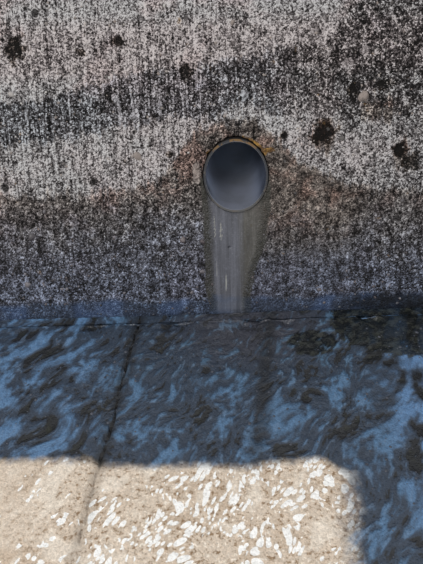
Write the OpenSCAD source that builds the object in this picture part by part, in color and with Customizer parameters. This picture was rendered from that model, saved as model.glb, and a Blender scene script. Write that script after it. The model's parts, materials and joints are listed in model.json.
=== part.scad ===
// Drain outlet headwall with a battered face and a concrete apron
//
// X runs along the wall, the face looks towards -Y and +Z is up. The origin is the middle of the
// footprint, at the underside of the concrete.

/* [Wall] */
// Length of one bay of wall and apron
bay_length = 650; // [500:10:1000]
// Height of the wall above the apron
wall_height = 450; // [350:10:600]
// Thickness of the wall at its top
wall_top_thickness = 200; // [150:10:300]
// Setback of the face for each unit of height
batter = 0.5; // [0.2:0.05:0.6]
// Bevel on the two long arrises of the top
coping_bevel = 18; // [5:1:30]
// Bevel on the arrises beside the joints
joint_bevel = 7; // [3:1:12]

/* [Apron] */
// Depth of the apron in front of the toe joint
apron_depth = 600; // [400:10:900]
// Thickness of the apron slabs
apron_thickness = 120; // [80:5:200]
// Bevel on the apron's front arris
nosing_bevel = 15; // [5:1:30]
// Bevel on the apron's arris beside the wall
toe_bevel = 4; // [1:1:5]

/* [Joints] */
// Width of the filled joints
joint_width = 12; // [8:1:20]
// Setback of the joint filler from the faces
joint_recess = 9; // [4:1:15]
// Setback of the filler along the toe, where silt has nearly levelled it
toe_recess = 2; // [1:0.5:3]

/* [Drain] */
// Outer diameter of the pipe
pipe_diameter = 75; // [50:1:110]
// Thickness of the pipe's wall
pipe_wall = 2.5; // [1.8:0.1:5]
// Height of the pipe's axis above the apron
drain_rise = 144; // [100:1:250]
// Width of the mortar packed round the pipe
packing_width = 20; // [8:1:30]
// Length of pipe that stands out behind the wall, socket included
stub_length = 100; // [90:5:200]
// Depth of the socket at the pipe's rear end
socket_depth = 55; // [30:1:70]
// Space round a pipe pushed into the socket
socket_play = 0.2; // [0.1:0.05:0.5]

/* [Mortar] */
// Depth of the mortar packing behind the face
mouth_packing = 70; // [40:5:120]
// Depth of the mortar packing at the back
back_packing = 50; // [30:5:100]
// Width of the crescent over the crown where the mortar has shrunk and washed away
crown_gap = 2.4; // [1:0.2:5]
// Depth of that crescent behind the face
crown_gap_depth = 14; // [5:1:30]
// Radius of the largest spall at the rim of the mortar
spall_radius = 11; // [6:1:15]
// Depth of the spalls
spall_depth = 2.5; // [1:0.5:4]

/* [Hidden] */
$fn = 96;

concrete = [0.53, 0.51, 0.49];
wet_concrete = [0.39, 0.35, 0.31];
filler = [0.10, 0.10, 0.10];
plastic = [0.62, 0.60, 0.56];
mortar = [0.60, 0.56, 0.49];

// Sections are drawn in the YZ plane, with Y as the first value
batter_angle = atan(batter);
base_thickness = wall_top_thickness + batter * wall_height;
total_depth = apron_depth + joint_width + base_thickness + stub_length;
apron_front = -total_depth / 2;
apron_back = apron_front + apron_depth;
toe = apron_back + joint_width;
wall_back = toe + base_thickness;
pipe_end = wall_back + stub_length;
wall_top = apron_thickness + wall_height;
top_front = toe + batter * wall_height;

bay_pitch = bay_length + joint_width;
joint_place = bay_pitch / 2;

pipe_radius = pipe_diameter / 2;
bore_radius = pipe_radius - pipe_wall;
core_radius = pipe_radius + packing_width;
socket_radius = pipe_radius + socket_play;
socket_taper = 10;
socket_lead = 2;
drain_axis = apron_thickness + drain_rise;
mouth_centre = toe + batter * drain_rise;
mouth_reach = batter * core_radius;

clear = 1;
far = 2 * total_depth;

// Height at which the inset batter meets the inset upright below it
function knee(inset) = apron_thickness - inset * (1 / cos(batter_angle) - 1) / batter;

// Outline of the wall's section, set in from its exposed faces
function wall_section(inset = 0) = [
    [toe + inset, 0],
    [wall_back - inset, 0],
    [wall_back - inset, wall_top - inset],
    [top_front + inset / cos(batter_angle) - batter * inset, wall_top - inset],
    [toe + inset, knee(inset)],
];

// Extrudes a YZ section along X, centred
module along_wall(length) {
    rotate([90, 0, 90])
        linear_extrude(height = length, center = true)
            children();
}

// Bar that bevels the arris running from one YZ point to another
module arris_bar(from, to, bevel) {
    run = to - from;
    translate([0, from.x, from.y])
        rotate([-atan2(run.x, run.y), 0, 0])
            translate([0, 0, -2 * bevel])
                rotate(45)
                    linear_extrude(height = norm(run) + 4 * bevel)
                        square(bevel * sqrt(2), center = true);
}

// Bar that bevels an arris running along the wall through one YZ point
module coping_bar(at) {
    translate([0, at.x, at.y])
        rotate([0, 90, 0])
            rotate(45)
                linear_extrude(height = bay_length + 2 * clear, center = true)
                    square(coping_bevel * sqrt(2), center = true);
}

// Everything behind the plane of the battered face
module behind_face(length) {
    along_wall(length)
        polygon([
            [toe, apron_thickness],
            [far, apron_thickness],
            [far, wall_top],
            [top_front, wall_top],
        ]);
}

// Places what is drawn along Z on the drain's axis, with Z pointing to the back
module on_drain(from) {
    translate([0, from, drain_axis])
        rotate([-90, 0, 0])
            children();
}

// One plain bay: battered face, upright back, bevelled arrises
module wall_bay() {
    front = [top_front, wall_top];
    back = [wall_back, wall_top];
    difference() {
        along_wall(bay_length)
            polygon(wall_section());
        coping_bar(front);
        coping_bar(back);
        for (side = [-1, 1])
            translate([side * bay_length / 2, 0, 0]) {
                arris_bar([toe, apron_thickness], front, joint_bevel);
                arris_bar(front, back, joint_bevel);
                arris_bar([wall_back, 0], back, joint_bevel);
            }
    }
}

// Shallow dishes where the rim of the mortar has broken away, largest at the upper right
module rim_spalls() {
    spalls = [
        // clock angle from the crown, size
        [48, 1],
        [-22, 0.7],
        [-84, 0.85],
    ];
    for (spall = spalls) {
        radius = spall_radius * spall[1];
        across = pipe_radius * sin(spall[0]);
        up = pipe_radius * cos(spall[0]);
        translate([across, mouth_centre + batter * up, drain_axis + up])
            rotate([-batter_angle, 0, 0])
                translate([0, spall_depth - radius, 0])
                    sphere(r = radius);
    }
}

module wall_bay_outlet() {
    color(concrete)
        difference() {
            wall_bay();
            on_drain(toe - clear)
                cylinder(r = core_radius, h = base_thickness + 2 * clear);
        }
}

module wall_bay_plain(bay) {
    color(concrete)
        translate([bay * bay_pitch, 0, 0])
            wall_bay();
}

module wall_joint(side) {
    color(filler)
        translate([side * joint_place, 0, 0])
            along_wall(joint_width)
                polygon(wall_section(joint_recess));
}

// Slab with a bevelled nosing and arrises
module apron_slab(bay) {
    color(wet_concrete)
        translate([bay * bay_pitch, 0, 0])
            difference() {
                along_wall(bay_length)
                    polygon([
                        [apron_front, 0],
                        [apron_back, 0],
                        [apron_back, apron_thickness - toe_bevel],
                        [apron_back - toe_bevel, apron_thickness],
                        [apron_front + nosing_bevel, apron_thickness],
                        [apron_front, apron_thickness - nosing_bevel],
                    ]);
                for (side = [-1, 1])
                    translate([side * bay_length / 2, 0, 0])
                        arris_bar(
                            [apron_front, apron_thickness],
                            [apron_back, apron_thickness],
                            joint_bevel
                        );
            }
}

module apron_joint(side) {
    color(filler)
        translate([side * joint_place, 0, 0])
            along_wall(joint_width)
                polygon([
                    [apron_front + joint_recess, 0],
                    [toe + joint_recess, 0],
                    [toe + joint_recess, apron_thickness - joint_recess],
                    [apron_front + joint_recess, apron_thickness - joint_recess],
                ]);
}

// Filler strip between the apron and the wall's toe, one for each bay
module toe_joint(bay) {
    depth = apron_thickness - toe_recess;
    color(filler)
        translate([bay * bay_pitch, (apron_back + toe) / 2, depth / 2])
            cube([bay_length, joint_width, depth], center = true);
}

// Half outline of the pipe: plain barrel, taper and socket with a lead-in
module pipe_outline(length) {
    socket_start = length - socket_depth;
    taper_start = socket_start - socket_taper;
    polygon([
        [bore_radius, 0],
        [pipe_radius, 0],
        [pipe_radius, taper_start],
        [socket_radius + pipe_wall, socket_start],
        [socket_radius + pipe_wall, length],
        [socket_radius + socket_lead / 2, length],
        [socket_radius, length - socket_lead],
        [socket_radius, socket_start],
        [bore_radius, taper_start],
    ]);
}

module drain_pipe() {
    length = pipe_end - toe;
    color(plastic)
        intersection() {
            on_drain(toe)
                rotate_extrude()
                    pipe_outline(length);
            behind_face(bay_length);
        }
}

// Ring of mortar that fills the space round the pipe
module packing_ring(from, length) {
    on_drain(from)
        difference() {
            cylinder(r = core_radius, h = length);
            translate([0, 0, -clear])
                cylinder(r = pipe_radius, h = length + 2 * clear);
        }
}

// Crescent over the crown: a hole a little wider than the pipe and lifted off its invert
module crown_crescent() {
    lift = 0.6 * crown_gap;
    start = mouth_centre - mouth_reach;
    crown_face = mouth_centre + batter * (pipe_radius + crown_gap);
    translate([0, 0, lift])
        on_drain(start)
            cylinder(r = pipe_radius + crown_gap - lift, h = crown_face + crown_gap_depth - start);
}

module mortar_mouth() {
    color(mortar)
        difference() {
            intersection() {
                packing_ring(toe, mouth_centre - toe + mouth_packing);
                behind_face(bay_length);
            }
            crown_crescent();
            rim_spalls();
        }
}

module mortar_back() {
    color(mortar)
        packing_ring(wall_back - back_packing, back_packing);
}

wall_bay_plain(-1);  // wall_bay_left
wall_bay_outlet();
wall_bay_plain(1);  // wall_bay_right
wall_joint(-1);  // wall_joint_left
wall_joint(1);  // wall_joint_right
apron_slab(-1);  // apron_slab_left
apron_slab(0);  // apron_slab_outlet
apron_slab(1);  // apron_slab_right
apron_joint(-1);  // apron_joint_left
apron_joint(1);  // apron_joint_right
toe_joint(-1);  // toe_joint_left
toe_joint(0);  // toe_joint_outlet
toe_joint(1);  // toe_joint_right
drain_pipe();
mortar_mouth();
mortar_back();
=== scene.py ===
import json
import math

import bmesh
import bpy
import numpy as np
from bpy.props import FloatProperty, FloatVectorProperty, IntProperty, PointerProperty
from mathutils import Matrix, Vector, noise


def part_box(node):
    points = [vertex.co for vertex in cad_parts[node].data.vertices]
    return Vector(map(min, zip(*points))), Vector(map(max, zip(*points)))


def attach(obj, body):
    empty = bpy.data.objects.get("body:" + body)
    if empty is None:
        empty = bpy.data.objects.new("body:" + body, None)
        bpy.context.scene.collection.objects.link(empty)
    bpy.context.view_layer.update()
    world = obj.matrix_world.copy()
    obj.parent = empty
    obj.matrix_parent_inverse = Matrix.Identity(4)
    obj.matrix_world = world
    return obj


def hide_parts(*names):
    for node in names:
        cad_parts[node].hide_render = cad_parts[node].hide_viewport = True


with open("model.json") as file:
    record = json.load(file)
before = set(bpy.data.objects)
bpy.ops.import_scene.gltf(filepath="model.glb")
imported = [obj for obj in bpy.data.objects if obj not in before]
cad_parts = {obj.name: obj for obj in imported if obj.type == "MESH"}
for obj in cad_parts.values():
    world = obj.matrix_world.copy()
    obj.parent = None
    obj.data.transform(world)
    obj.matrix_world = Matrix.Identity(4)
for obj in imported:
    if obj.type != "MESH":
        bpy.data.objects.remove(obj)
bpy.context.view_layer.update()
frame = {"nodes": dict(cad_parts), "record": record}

bl_info = {
    "name": "Drain outlet headwall",
    "version": (1, 0, 0),
    "blender": (4, 5, 0),
    "location": "3D View > Sidebar > Headwall",
    "description": "Weathers the castings, drain and joints of a battered concrete headwall",
    "category": "Object",
}

# Places and sizes of the construction, read from the frame, in metres
BAY_LOW, BAY_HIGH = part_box("wall_bay_outlet")
SLAB_LOW, SLAB_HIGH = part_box("apron_slab_outlet")
MORTAR_LOW, MORTAR_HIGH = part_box("mortar_back")
MOUNTS = {mount["name"]: mount for mount in frame["record"]["mounts"]}
TOE = BAY_LOW.y
WALL_BACK = BAY_HIGH.y
WALL_TOP = BAY_HIGH.z
BED = SLAB_HIGH.z
BAY_HALF = BAY_HIGH.x
BAY_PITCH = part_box("wall_bay_right")[0].x + BAY_HALF
DRAIN_Z = MOUNTS["outlet_bore"]["pos_m"][2]
BORE_RADIUS = MOUNTS["outlet_bore"]["dims"]["r_mm"] / 1000
CORE_RADIUS = MORTAR_HIGH.x

# Sizes that the frame holds but doesn't name
BATTER = 0.5
PIPE_RADIUS = BORE_RADIUS + 0.0025
COPING_BEVEL = 0.018
NOSING_BEVEL = 0.015
TOE_BEVEL = 0.004
CROWN_GAP = 0.0024
CROWN_GAP_DEPTH = 0.014
MOUTH_PACKING = 0.070
PIPE_PLAY = 0.0001

# Lightness of the dry concrete and of the mortar, from 0 to 1
DRY_LEVEL = 0.74
MORTAR_LEVEL = 0.50
# Angle in degrees from which an edge is shaded sharp
SHARP_ANGLE = 52
# Distance under which two places are one
TINY = 1e-6

SLOPE = math.hypot(1, BATTER)
FACE_OUT = np.array([0, -1 / SLOPE, BATTER / SLOPE])
MOUTH = np.array([0, TOE + BATTER * (DRAIN_Z - BED), DRAIN_Z])
BAYS = {"left": -BAY_PITCH, "outlet": 0.0, "right": BAY_PITCH}


def srgb(red, green, blue):
    """A display colour of 0 to 255 as the linear colour that shaders take."""
    shares = (channel / 255 for channel in (red, green, blue))
    return tuple(c / 12.92 if c <= 0.04045 else ((c + 0.055) / 1.055) ** 2.4 for c in shares)


# What a user would change


def length(name, description, default, low=-10.0, high=10.0):
    """A size in metres."""
    return FloatProperty(
        name=name, description=description, default=default, min=low, max=high, unit="LENGTH",
    )


def number(name, description, default, high, **settings):
    """A number of zero or more."""
    return FloatProperty(
        name=name, description=description, default=default, min=0.0, max=high, **settings,
    )


def colour(name, description, default):
    """A colour, or a tint that may brighten."""
    return FloatVectorProperty(
        name=name, description=description, default=default, max=2.0, subtype="COLOR",
    )


class HeadwallRelief(bpy.types.PropertyGroup):
    """How deep the weather has worn the castings."""

    cell: length("Mesh cell", "Grid of the outlet bay's face", 0.0022, 0.0015, 0.01)
    swell: length("Swell", "Slow waves left by the formwork", 0.0014, 0.0, 0.01)
    grain: length("Grain", "Depth of the sand-washed grain", 0.0011, 0.0, 0.003)
    pit_depth: length("Pit depth", "Depth of the blowholes", 0.0035, 0.0, 0.01)
    pit_spacing: length("Pit spacing", "Distance between blowholes", 0.022, 0.005, 0.1)
    chip_depth: length("Chip depth", "Depth of the chips along the arrises", 0.006, 0.0, 0.02)
    arris: length("Arris radius", "Rounding of the worn arrises", 0.005, 0.001, 0.01)
    grit_density: number("Grit density", "Grains standing proud on each square metre of face", 9000, 30000)
    pebble_density: number("Pebble density", "Pebbles on each square metre of face", 160, 3000)
    seed: IntProperty(name="Seed", description="Draw of the scattered stones", default=7)


class HeadwallColours(bpy.types.PropertyGroup):
    """Colours of the finishes. The tints are multiplied on to the grey of the sand."""

    warm: colour("Warm tint", "Dry patches of the face", (1.10, 0.97, 0.95))
    brown: colour("Brown tint", "Damp round the mouth", (1.08, 1.0, 0.91))
    rust: colour("Rust tint", "Rusty patches in the damp", (1.13, 0.95, 0.90))
    cool: colour("Cool tint", "Stain band", (0.94, 1.0, 1.06))
    # Painted sky reflection: blue tint where water stands along the wall's toe
    tide: colour("Tide tint", "Tidemark along the toe", (0.78, 0.96, 1.14))
    # Painted sky reflection: the bluish tint of the wet foot, which is also darker for being wet
    foot: colour("Foot tint", "Wet foot of the wall", (0.95, 1.05, 1.26))
    runnel: colour("Runnel", "Face washed smooth by the drain", srgb(93, 94, 101))
    runnel_silt: colour("Runnel silt", "Silty side of the runnel", srgb(81, 79, 75))
    algae: colour("Algae", "Edges of the runnel", srgb(61, 60, 55))
    # Painted shadow and sky reflection: the slate blue of the wet apron in the wall's cast shadow
    slate: colour("Wet apron", "Apron beside the wall", srgb(53, 63, 77))
    # Painted sky reflection on the wet apron
    sheen: colour("Sheen", "Paler film on the wet apron", srgb(84, 109, 137))
    # Painted sunlight: the tan of the outer apron, as bright as the bed is in the sun
    silt: colour("Silt", "Silt on the outer apron", srgb(218, 201, 182))


class HeadwallStage(bpy.types.PropertyGroup):
    """Camera, lamps and floor."""

    image_height: IntProperty(name="Image height", description="Height of the picture in pixels", default=564)
    focal: number("Focal length", "Focal length in pixels", 700, 10000)
    pitch: number("Pitch", "How far the camera looks down", math.radians(39.8), math.pi / 2, subtype="ANGLE")
    roll: number("Roll", "Clockwise lean of the camera", math.radians(1.8), math.pi / 2, subtype="ANGLE")
    side: length("Side", "Camera's place along the wall", -0.032)
    reach: length("Reach", "Camera's distance in front of the toe", 0.628)
    rise: length("Rise", "Camera's height above the apron", 0.569)
    daylight: number("Daylight", "Strength of the even light", 0.62, 10)
    key_power: number("Key lamp", "Power of the large lamp", 46, 1000, unit="POWER")
    floor: colour("Floor", "Plain pale floor", srgb(226, 225, 222))


# Nodes in few words


def sign(operation, swapped=False):
    """What a plain sign between two values does."""
    def join(self, other):
        first, second = (other, self) if swapped else (self, other)
        return self.wires.math(operation, first, second)
    return join


class Value:
    """What a node puts out, joined with numbers and other values by plain signs."""

    def __init__(self, wires, socket):
        self.wires = wires
        self.socket = socket

    __add__, __radd__ = sign("ADD"), sign("ADD", True)
    __sub__, __rsub__ = sign("SUBTRACT"), sign("SUBTRACT", True)
    __mul__, __truediv__ = sign("MULTIPLY"), sign("DIVIDE")

    def step(self, low, high, bottom=0.0, top=1.0):
        """A soft step from bottom to top as the value goes from low to high."""
        inputs = {"Value": self, "From Min": low, "From Max": high, "To Min": bottom, "To Max": top}
        return self.wires.add("ShaderNodeMapRange", inputs, interpolation_type="SMOOTHSTEP")["Result"]


class Node:
    """A node with its settings made and its inputs set or joined. Its outputs are read as values."""

    def __init__(self, wires, kind, inputs, settings):
        self.wires = wires
        self.made = wires.tree.nodes.new(kind)
        for name, value in settings.items():
            setattr(self.made, name, value)
        for name, value in (inputs or {}).items():
            wires.feed(self.made.inputs[name], value)

    def __getitem__(self, key):
        return Value(self.wires, self.made.outputs[key])


class Wiring:
    """Adds and joins the nodes of one tree."""

    def __init__(self, tree):
        self.tree = tree

    def add(self, kind, inputs=None, **settings):
        """A new node in this tree."""
        return Node(self, kind, inputs, settings)

    def feed(self, socket, value):
        """Joins a value, or a node's first one, to an input, or sets the input."""
        if isinstance(value, Node):
            value = value[0]
        if isinstance(value, Value):
            self.tree.links.new(value.socket, socket)
        elif hasattr(value, "__len__") and len(value) == 3 and len(socket.default_value) == 4:
            socket.default_value = (*value, 1)
        else:
            socket.default_value = value

    def math(self, operation, first, second=0.0, clamp=False):
        """What one Math node makes of two numbers."""
        return self.add("ShaderNodeMath", {0: first, 1: second}, operation=operation, use_clamp=clamp)[0]

    def most(self, first, second):
        """The larger of two numbers."""
        return self.math("MAXIMUM", first, second)

    def vector(self, operation, first, second):
        """A vector sum; scaling takes a number as its second value."""
        place = 3 if operation == "SCALE" else 1
        made = self.add("ShaderNodeVectorMath", {0: first, place: second}, operation=operation)
        return made[1 if operation in {"LENGTH", "DOT_PRODUCT"} else 0]

    def axes(self, vector):
        """A vector's three numbers."""
        return self.add("ShaderNodeSeparateXYZ", {0: vector})

    def mix(self, share, first, second, blend="MIX"):
        """Two colours mixed."""
        inputs = {0: share, 6: first, 7: second}
        return self.add("ShaderNodeMix", inputs, data_type="RGBA", blend_type=blend)[2]

    def tint(self, share, color, tint):
        """A colour multiplied by another one, or by a number."""
        return self.mix(share, color, tint, "MULTIPLY")

    def blend(self, share, first, second):
        """Two numbers mixed."""
        return self.add("ShaderNodeMix", {0: share, 2: first, 3: second}, data_type="FLOAT")[0]

    def ramp(self, value, shades):
        """Display colours along a value, each given with its place."""
        made = self.add("ShaderNodeValToRGB", {"Fac": value})
        stops = made.made.color_ramp.elements
        places, colors = zip(*((place, (*srgb(*shade), 1)) for place, shade in shades))
        stops[0].color, stops[1].color = colors[0], colors[-1]
        for place, color in zip(places[1:-1], colors[1:-1]):
            stops.new(place).color = color
        return made[0]

    def cloud(self, place, size, detail=2.0, roughness=0.5):
        """Soft noise with lumps of one size, from 0 to 1."""
        inputs = {"Vector": place, "Scale": 1 / size, "Detail": detail, "Roughness": roughness}
        return self.add("ShaderNodeTexNoise", inputs)["Fac"]

    def wander(self, place, scale, detail):
        """Noise as a vector about zero."""
        made = self.add("ShaderNodeTexNoise", {"Vector": place, "Scale": scale, "Detail": detail})
        return self.vector("SUBTRACT", made["Color"], (0.5, 0.5, 0.5))

    def cells(self, place, size):
        """Cells of one size: a random number for each, and the distance from its middle."""
        scale = self.math("DIVIDE", 1.0, size)
        made = self.add("ShaderNodeTexVoronoi", {"Vector": place, "Scale": scale})
        return self.axes(made["Color"])[0], made["Distance"]

    def ragged(self, mask, torn, reach=0.16):
        """A mask whose edge is torn by noise about zero."""
        return (mask + torn).step(0.5 - reach, 0.5 + reach)


class Group(Wiring):
    """An empty node group. Each input is given by its number or, without one, by its kind of socket."""

    SOCKETS = {float: "Float", int: "Int", bool: "Bool"}

    def __init__(self, name, kind, inputs, outputs):
        super().__init__(bpy.data.node_groups.new(name, kind))
        sockets = self.tree.interface
        for label, value in inputs.items():
            plain = self.SOCKETS.get(type(value))
            made = sockets.new_socket(label, in_out="INPUT", socket_type=f"NodeSocket{plain or value}")
            if plain:
                made.default_value = value
        for label, socket in outputs.items():
            sockets.new_socket(label, in_out="OUTPUT", socket_type=f"NodeSocket{socket}")
        self.given = self.add("NodeGroupInput")

    def give(self, **values):
        """Joins values to the group's outputs and hands the group over."""
        self.add("NodeGroupOutput", values)
        return self.tree


def shared(name, build):
    """The node group of that name, built the first time."""
    return bpy.data.node_groups.get(name) or build(name)


def build_sand_grain(name):
    """Sand grains: a draw of light and dark about zero, and the grains' height."""
    inputs = {"Vector": "Vector", "Contrast": 1.0}
    wires = Group(name, "ShaderNodeTree", inputs, {"Value": "Float", "Height": "Float"})
    coarse, coarse_gap = wires.cells(wires.given["Vector"], 0.0019)
    fine, fine_gap = wires.cells(wires.given["Vector"], 0.0012)
    draw = wires.blend(0.45, coarse, fine) - 0.5
    gap = wires.blend(0.4, coarse_gap, fine_gap)
    return wires.give(Value=draw * wires.given["Contrast"], Height=1.0 - gap)


def build_drip_runs(name):
    """Runs that dripped down a face, as a mask of ragged upright streaks."""
    sizes = {"Across": 0.0, "Height": 0.0, "Width": 0.004, "Length": 0.06}
    wires = Group(name, "ShaderNodeTree", sizes, {"Run": "Float"})
    given = wires.given
    side, fall = given["Across"] / given["Width"], given["Height"] / given["Length"]
    place = wires.add("ShaderNodeCombineXYZ", {0: side, 2: fall})
    return wires.give(Run=wires.cloud(place, 1.0, 2.5, 0.6))


def build_mottle(name):
    """Slow changes of colour over a cast face."""
    outputs = {"Broad": "Float", "Patch": "Float", "Speck": "Float"}
    wires = Group(name, "ShaderNodeTree", {"Vector": "Vector"}, outputs)
    place = wires.given["Vector"]
    return wires.give(
        Broad=wires.cloud(place, 0.16, 3.0), Patch=wires.cloud(place, 0.034, 3.0),
        Speck=wires.cloud(place, 0.009, 3.0, 0.6),
    )


def build_sand_shades(name):
    """The greys of sandy concrete, from the dirt and painted shade in its hollows to its clean grains."""
    wires = Group(name, "ShaderNodeTree", {"Level": 0.5}, {"Color": "Color"})
    middle = [(grey, grey - 3.5, grey - 3.5) for grey in (34, 62, 94, 130, 168)]
    greys = [(12, 11, 10), *middle, (204, 202, 201)]
    shades = [(step / (len(greys) - 1), grey) for step, grey in enumerate(greys)]
    return wires.give(Color=wires.ramp(wires.given["Level"], shades))


class Finish(Wiring):
    """A material with its Principled shader and the parts that finishes share."""

    def __init__(self, name):
        self.material = bpy.data.materials.new(name)
        self.material.use_nodes = True
        super().__init__(self.material.node_tree)
        self.shader = self.tree.nodes["Principled BSDF"]
        self.place = self.add("ShaderNodeTexCoord")["Object"]

    def group(self, build, name, **inputs):
        """A shared node group placed in this material with values of its own."""
        return self.add("ShaderNodeGroup", inputs, node_tree=shared(name, build))

    def mottle(self):
        """The slow changes of colour, at this material's own places."""
        return self.group(build_mottle, "Mottle", Vector=self.place)

    def grain(self, contrast):
        """The sand grains, at this material's own places."""
        return self.group(build_sand_grain, "Sand grain", Vector=self.place, Contrast=contrast)

    def read(self, name):
        """A point value of the mesh."""
        return self.add("ShaderNodeAttribute", None, attribute_name=name)["Fac"]

    def bump(self, height, distance, strength=1.0):
        """Fine relief in the shading, in metres for a height of 1."""
        made = self.add("ShaderNodeBump", {"Height": height, "Distance": distance, "Strength": strength})
        self.feed(self.shader.inputs["Normal"], made)

    def layers(self, color, *layers):
        """A colour with others laid over it in turn, each given as its share and colour."""
        for share, over in layers:
            color = self.mix(share, color, over)
        return color

    def done(self, **values):
        """The material, once its shader's inputs are set or joined."""
        for label, value in values.items():
            self.feed(self.shader.inputs[label.replace("_", " ")], value)
        return self.material


class Face(Finish):
    """A material of sandy cast concrete: the noise and masks that its parts share."""

    def __init__(self, name):
        super().__init__(name)
        self.sand, self.slow = self.grain(1.25), self.mottle()
        self.height = self.axes(self.place)[2]
        self.across = self.read("across")
        self.plain = 1.0 - self.read("front")
        self.thin, self.mid = self.runs(0.0020, 0.024), self.runs(0.0040, 0.055)
        self.wide = self.runs(0.009, 0.085)
        self.blotch = self.cloud(self.place, 0.011, 3.0, 0.6) - 0.5
        self.patch = self.slow["Patch"] - 0.5
        torn = self.thin * 0.9 + self.wide * 1.6 + self.blotch * 0.8
        self.band = self.ragged(self.read("stain"), torn, 0.13)
        self.brown = self.ragged(self.read("brown"), torn, 0.2)
        self.foot = self.ragged(self.read("foot"), self.patch + self.blotch, 0.42)
        self.damp = self.brown * (1.0 - self.foot)
        self.beside = self.across.step(0.008, 0.030) * self.across.step(0.17, 0.11)

    def runs(self, width, length):
        """Drips of one width and length, as noise about zero."""
        sizes = {"Across": self.across, "Height": self.height, "Width": width, "Length": length}
        return self.group(build_drip_runs, "Drip runs", **sizes)["Run"] - 0.5


def face_sand(look, wetter, drawn):
    """The sand's own lights and darks, drawn out by the drips and clotted where it is damp."""
    upright = look.vector("MULTIPLY", look.place, (1.0, 1.0, 0.55))
    clump = look.cloud(upright, 0.0075, 4.0, 0.72) - 0.5
    rough = look.sand["Value"] * look.blend(wetter, 1.0, 0.88)
    rough = rough + (look.thin * 0.8 + look.mid * 0.75) * drawn + clump * 0.95
    for size, depth in ((0.0080, -0.20), (0.0110, 0.17), (0.0050, -0.14)):
        lines = look.math("ABSOLUTE", look.cloud(upright, size) - 0.5)
        rough += lines.step(0.035, 0.0) * depth
    clotted = look.most(look.most(look.damp, look.foot * 0.6), look.read("drawn").step(0.9, 0.35))
    rough += look.blotch * look.blend(clotted, 0.6, 1.15)
    return rough + look.patch * (clotted * 0.35) + look.wide * 0.75


def face_level(look, dry_level):
    """How light each place is, from 0 to 1, and how much lime and crust lie on it."""
    level = look.blend(look.band, dry_level, 0.42)
    level = look.blend(look.brown * 0.85, level, 0.415)
    level = look.blend(look.foot, level, 0.395) - look.read("grime")
    level += look.beside * 0.022

    wetter = look.most(look.damp, look.foot)
    drawn = look.blend(wetter, look.read("drawn"), 0.35)
    rough = face_sand(look, wetter, drawn)
    quiet = look.beside * (look.brown * 0.26)
    spread = look.blend(look.foot, look.blend(look.brown, 1.0, 0.88), 0.82) * (1.0 - quiet)
    spread *= look.blend(look.plain, 1.0, 0.55)
    slow = (look.slow["Broad"] - 0.5) * 0.9 + look.patch
    level = level + slow * 0.55 * look.plain + rough * spread

    level += rough.step(0.22, 0.55) * (look.band * 0.22)
    level -= look.cells(look.place, 0.0046)[1].step(0.22, 0.10) * 0.3
    lime = look.read("lime")
    limed = (lime + rough * 0.8).step(0.35, 0.75) * lime.step(0.0, 0.1)
    level = look.blend(limed * 0.55, level, 0.92)
    bleached = look.mid.step(0.11, 0.19) * (look.band * drawn)
    level = look.blend(bleached * 0.3, level, 0.95)
    crust = look.read("crust") + look.read("crust_reach") * (look.blotch * 2.4 + look.patch * 1.2)
    crusted = crust.step(0.20, 0.50)
    return level - crusted * 0.54, limed, crusted


def face_tints(look, color, colours, limed, crusted):
    """Tints of the dry, stained, damp and wet parts, with a painted bluish sky reflection on the wet foot and
    towards the toe, the ochre at the mouth, and painted shade in the hollows.
    """
    height, beside, speck = look.height, look.beside, look.slow["Speck"]
    broken = look.blend(0.45, look.slow["Broad"], look.slow["Patch"]).step(0.44, 0.58)
    over_band = height.step(0.355, 0.375) * height.step(0.430, 0.405)
    warm = look.most(broken, over_band * 0.6)
    warm = warm * height.step(0.32, 0.37, 0.45, 1.0) * look.blend(look.plain, 1.0, 0.3)
    earthy = look.damp * (height + beside * 0.045).step(0.205, 0.265)
    rusty = look.patch.step(-0.02, 0.12) * look.math("SUBTRACT", earthy, limed, True)
    # Painted sky reflection: the wet foot, and more so the place towards the toe, are tinted blue
    foot_sky_tint = look.foot * (1.0 - beside * height.step(0.165, 0.200, 0.0, 0.85))
    for share, tint in (
        (warm, colours.warm),
        (look.band * look.across.step(0.09, 0.02), colours.cool),
        (earthy, colours.brown),
        (beside * earthy, (1.025, 1.0, 0.97)),
        (rusty, colours.rust),
        (foot_sky_tint, colours.foot),
        (look.foot * height.step(BED + 0.075, BED + 0.015), (0.93, 1.0, 1.10)),
        (crusted, (1.06, 0.98, 0.88)),
    ):
        color = look.tint(share, color, tint)
    gold = look.mix(speck.step(0.45, 0.6), srgb(96, 70, 40), srgb(176, 136, 70))
    color = look.mix(look.ragged(look.read("ochre"), look.blotch * 2.0, 0.2) * 0.85, color, gold)
    # Painted shade: near black in the pits and carved hollows
    return look.mix(look.read("hollow").step(0.15, 0.9, 0.0, 0.85), color, srgb(24, 22, 21))


def runnel_color(look, colours):
    """The runnel: clean on one side and silty on the other, striped, with pale streaks that are painted
    highlights of running water.
    """
    silty = look.across.step(-0.006, 0.014) + look.runs(0.010, 0.05)
    color = look.mix(silty.step(0.1, 0.9), colours.runnel, colours.runnel_silt)
    stripe = look.runs(0.0045, 0.09) + look.wide * 0.6
    color = look.tint(1.0, color, 1.0 + stripe * 1.6)
    # Painted highlights: pale streaks down the runnel
    painted_streak = look.read("lime") + (look.wide + look.thin) * 1.6
    return look.mix(painted_streak.step(0.6, 1.15, 0.0, 0.75), color, srgb(168, 167, 158))


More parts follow.
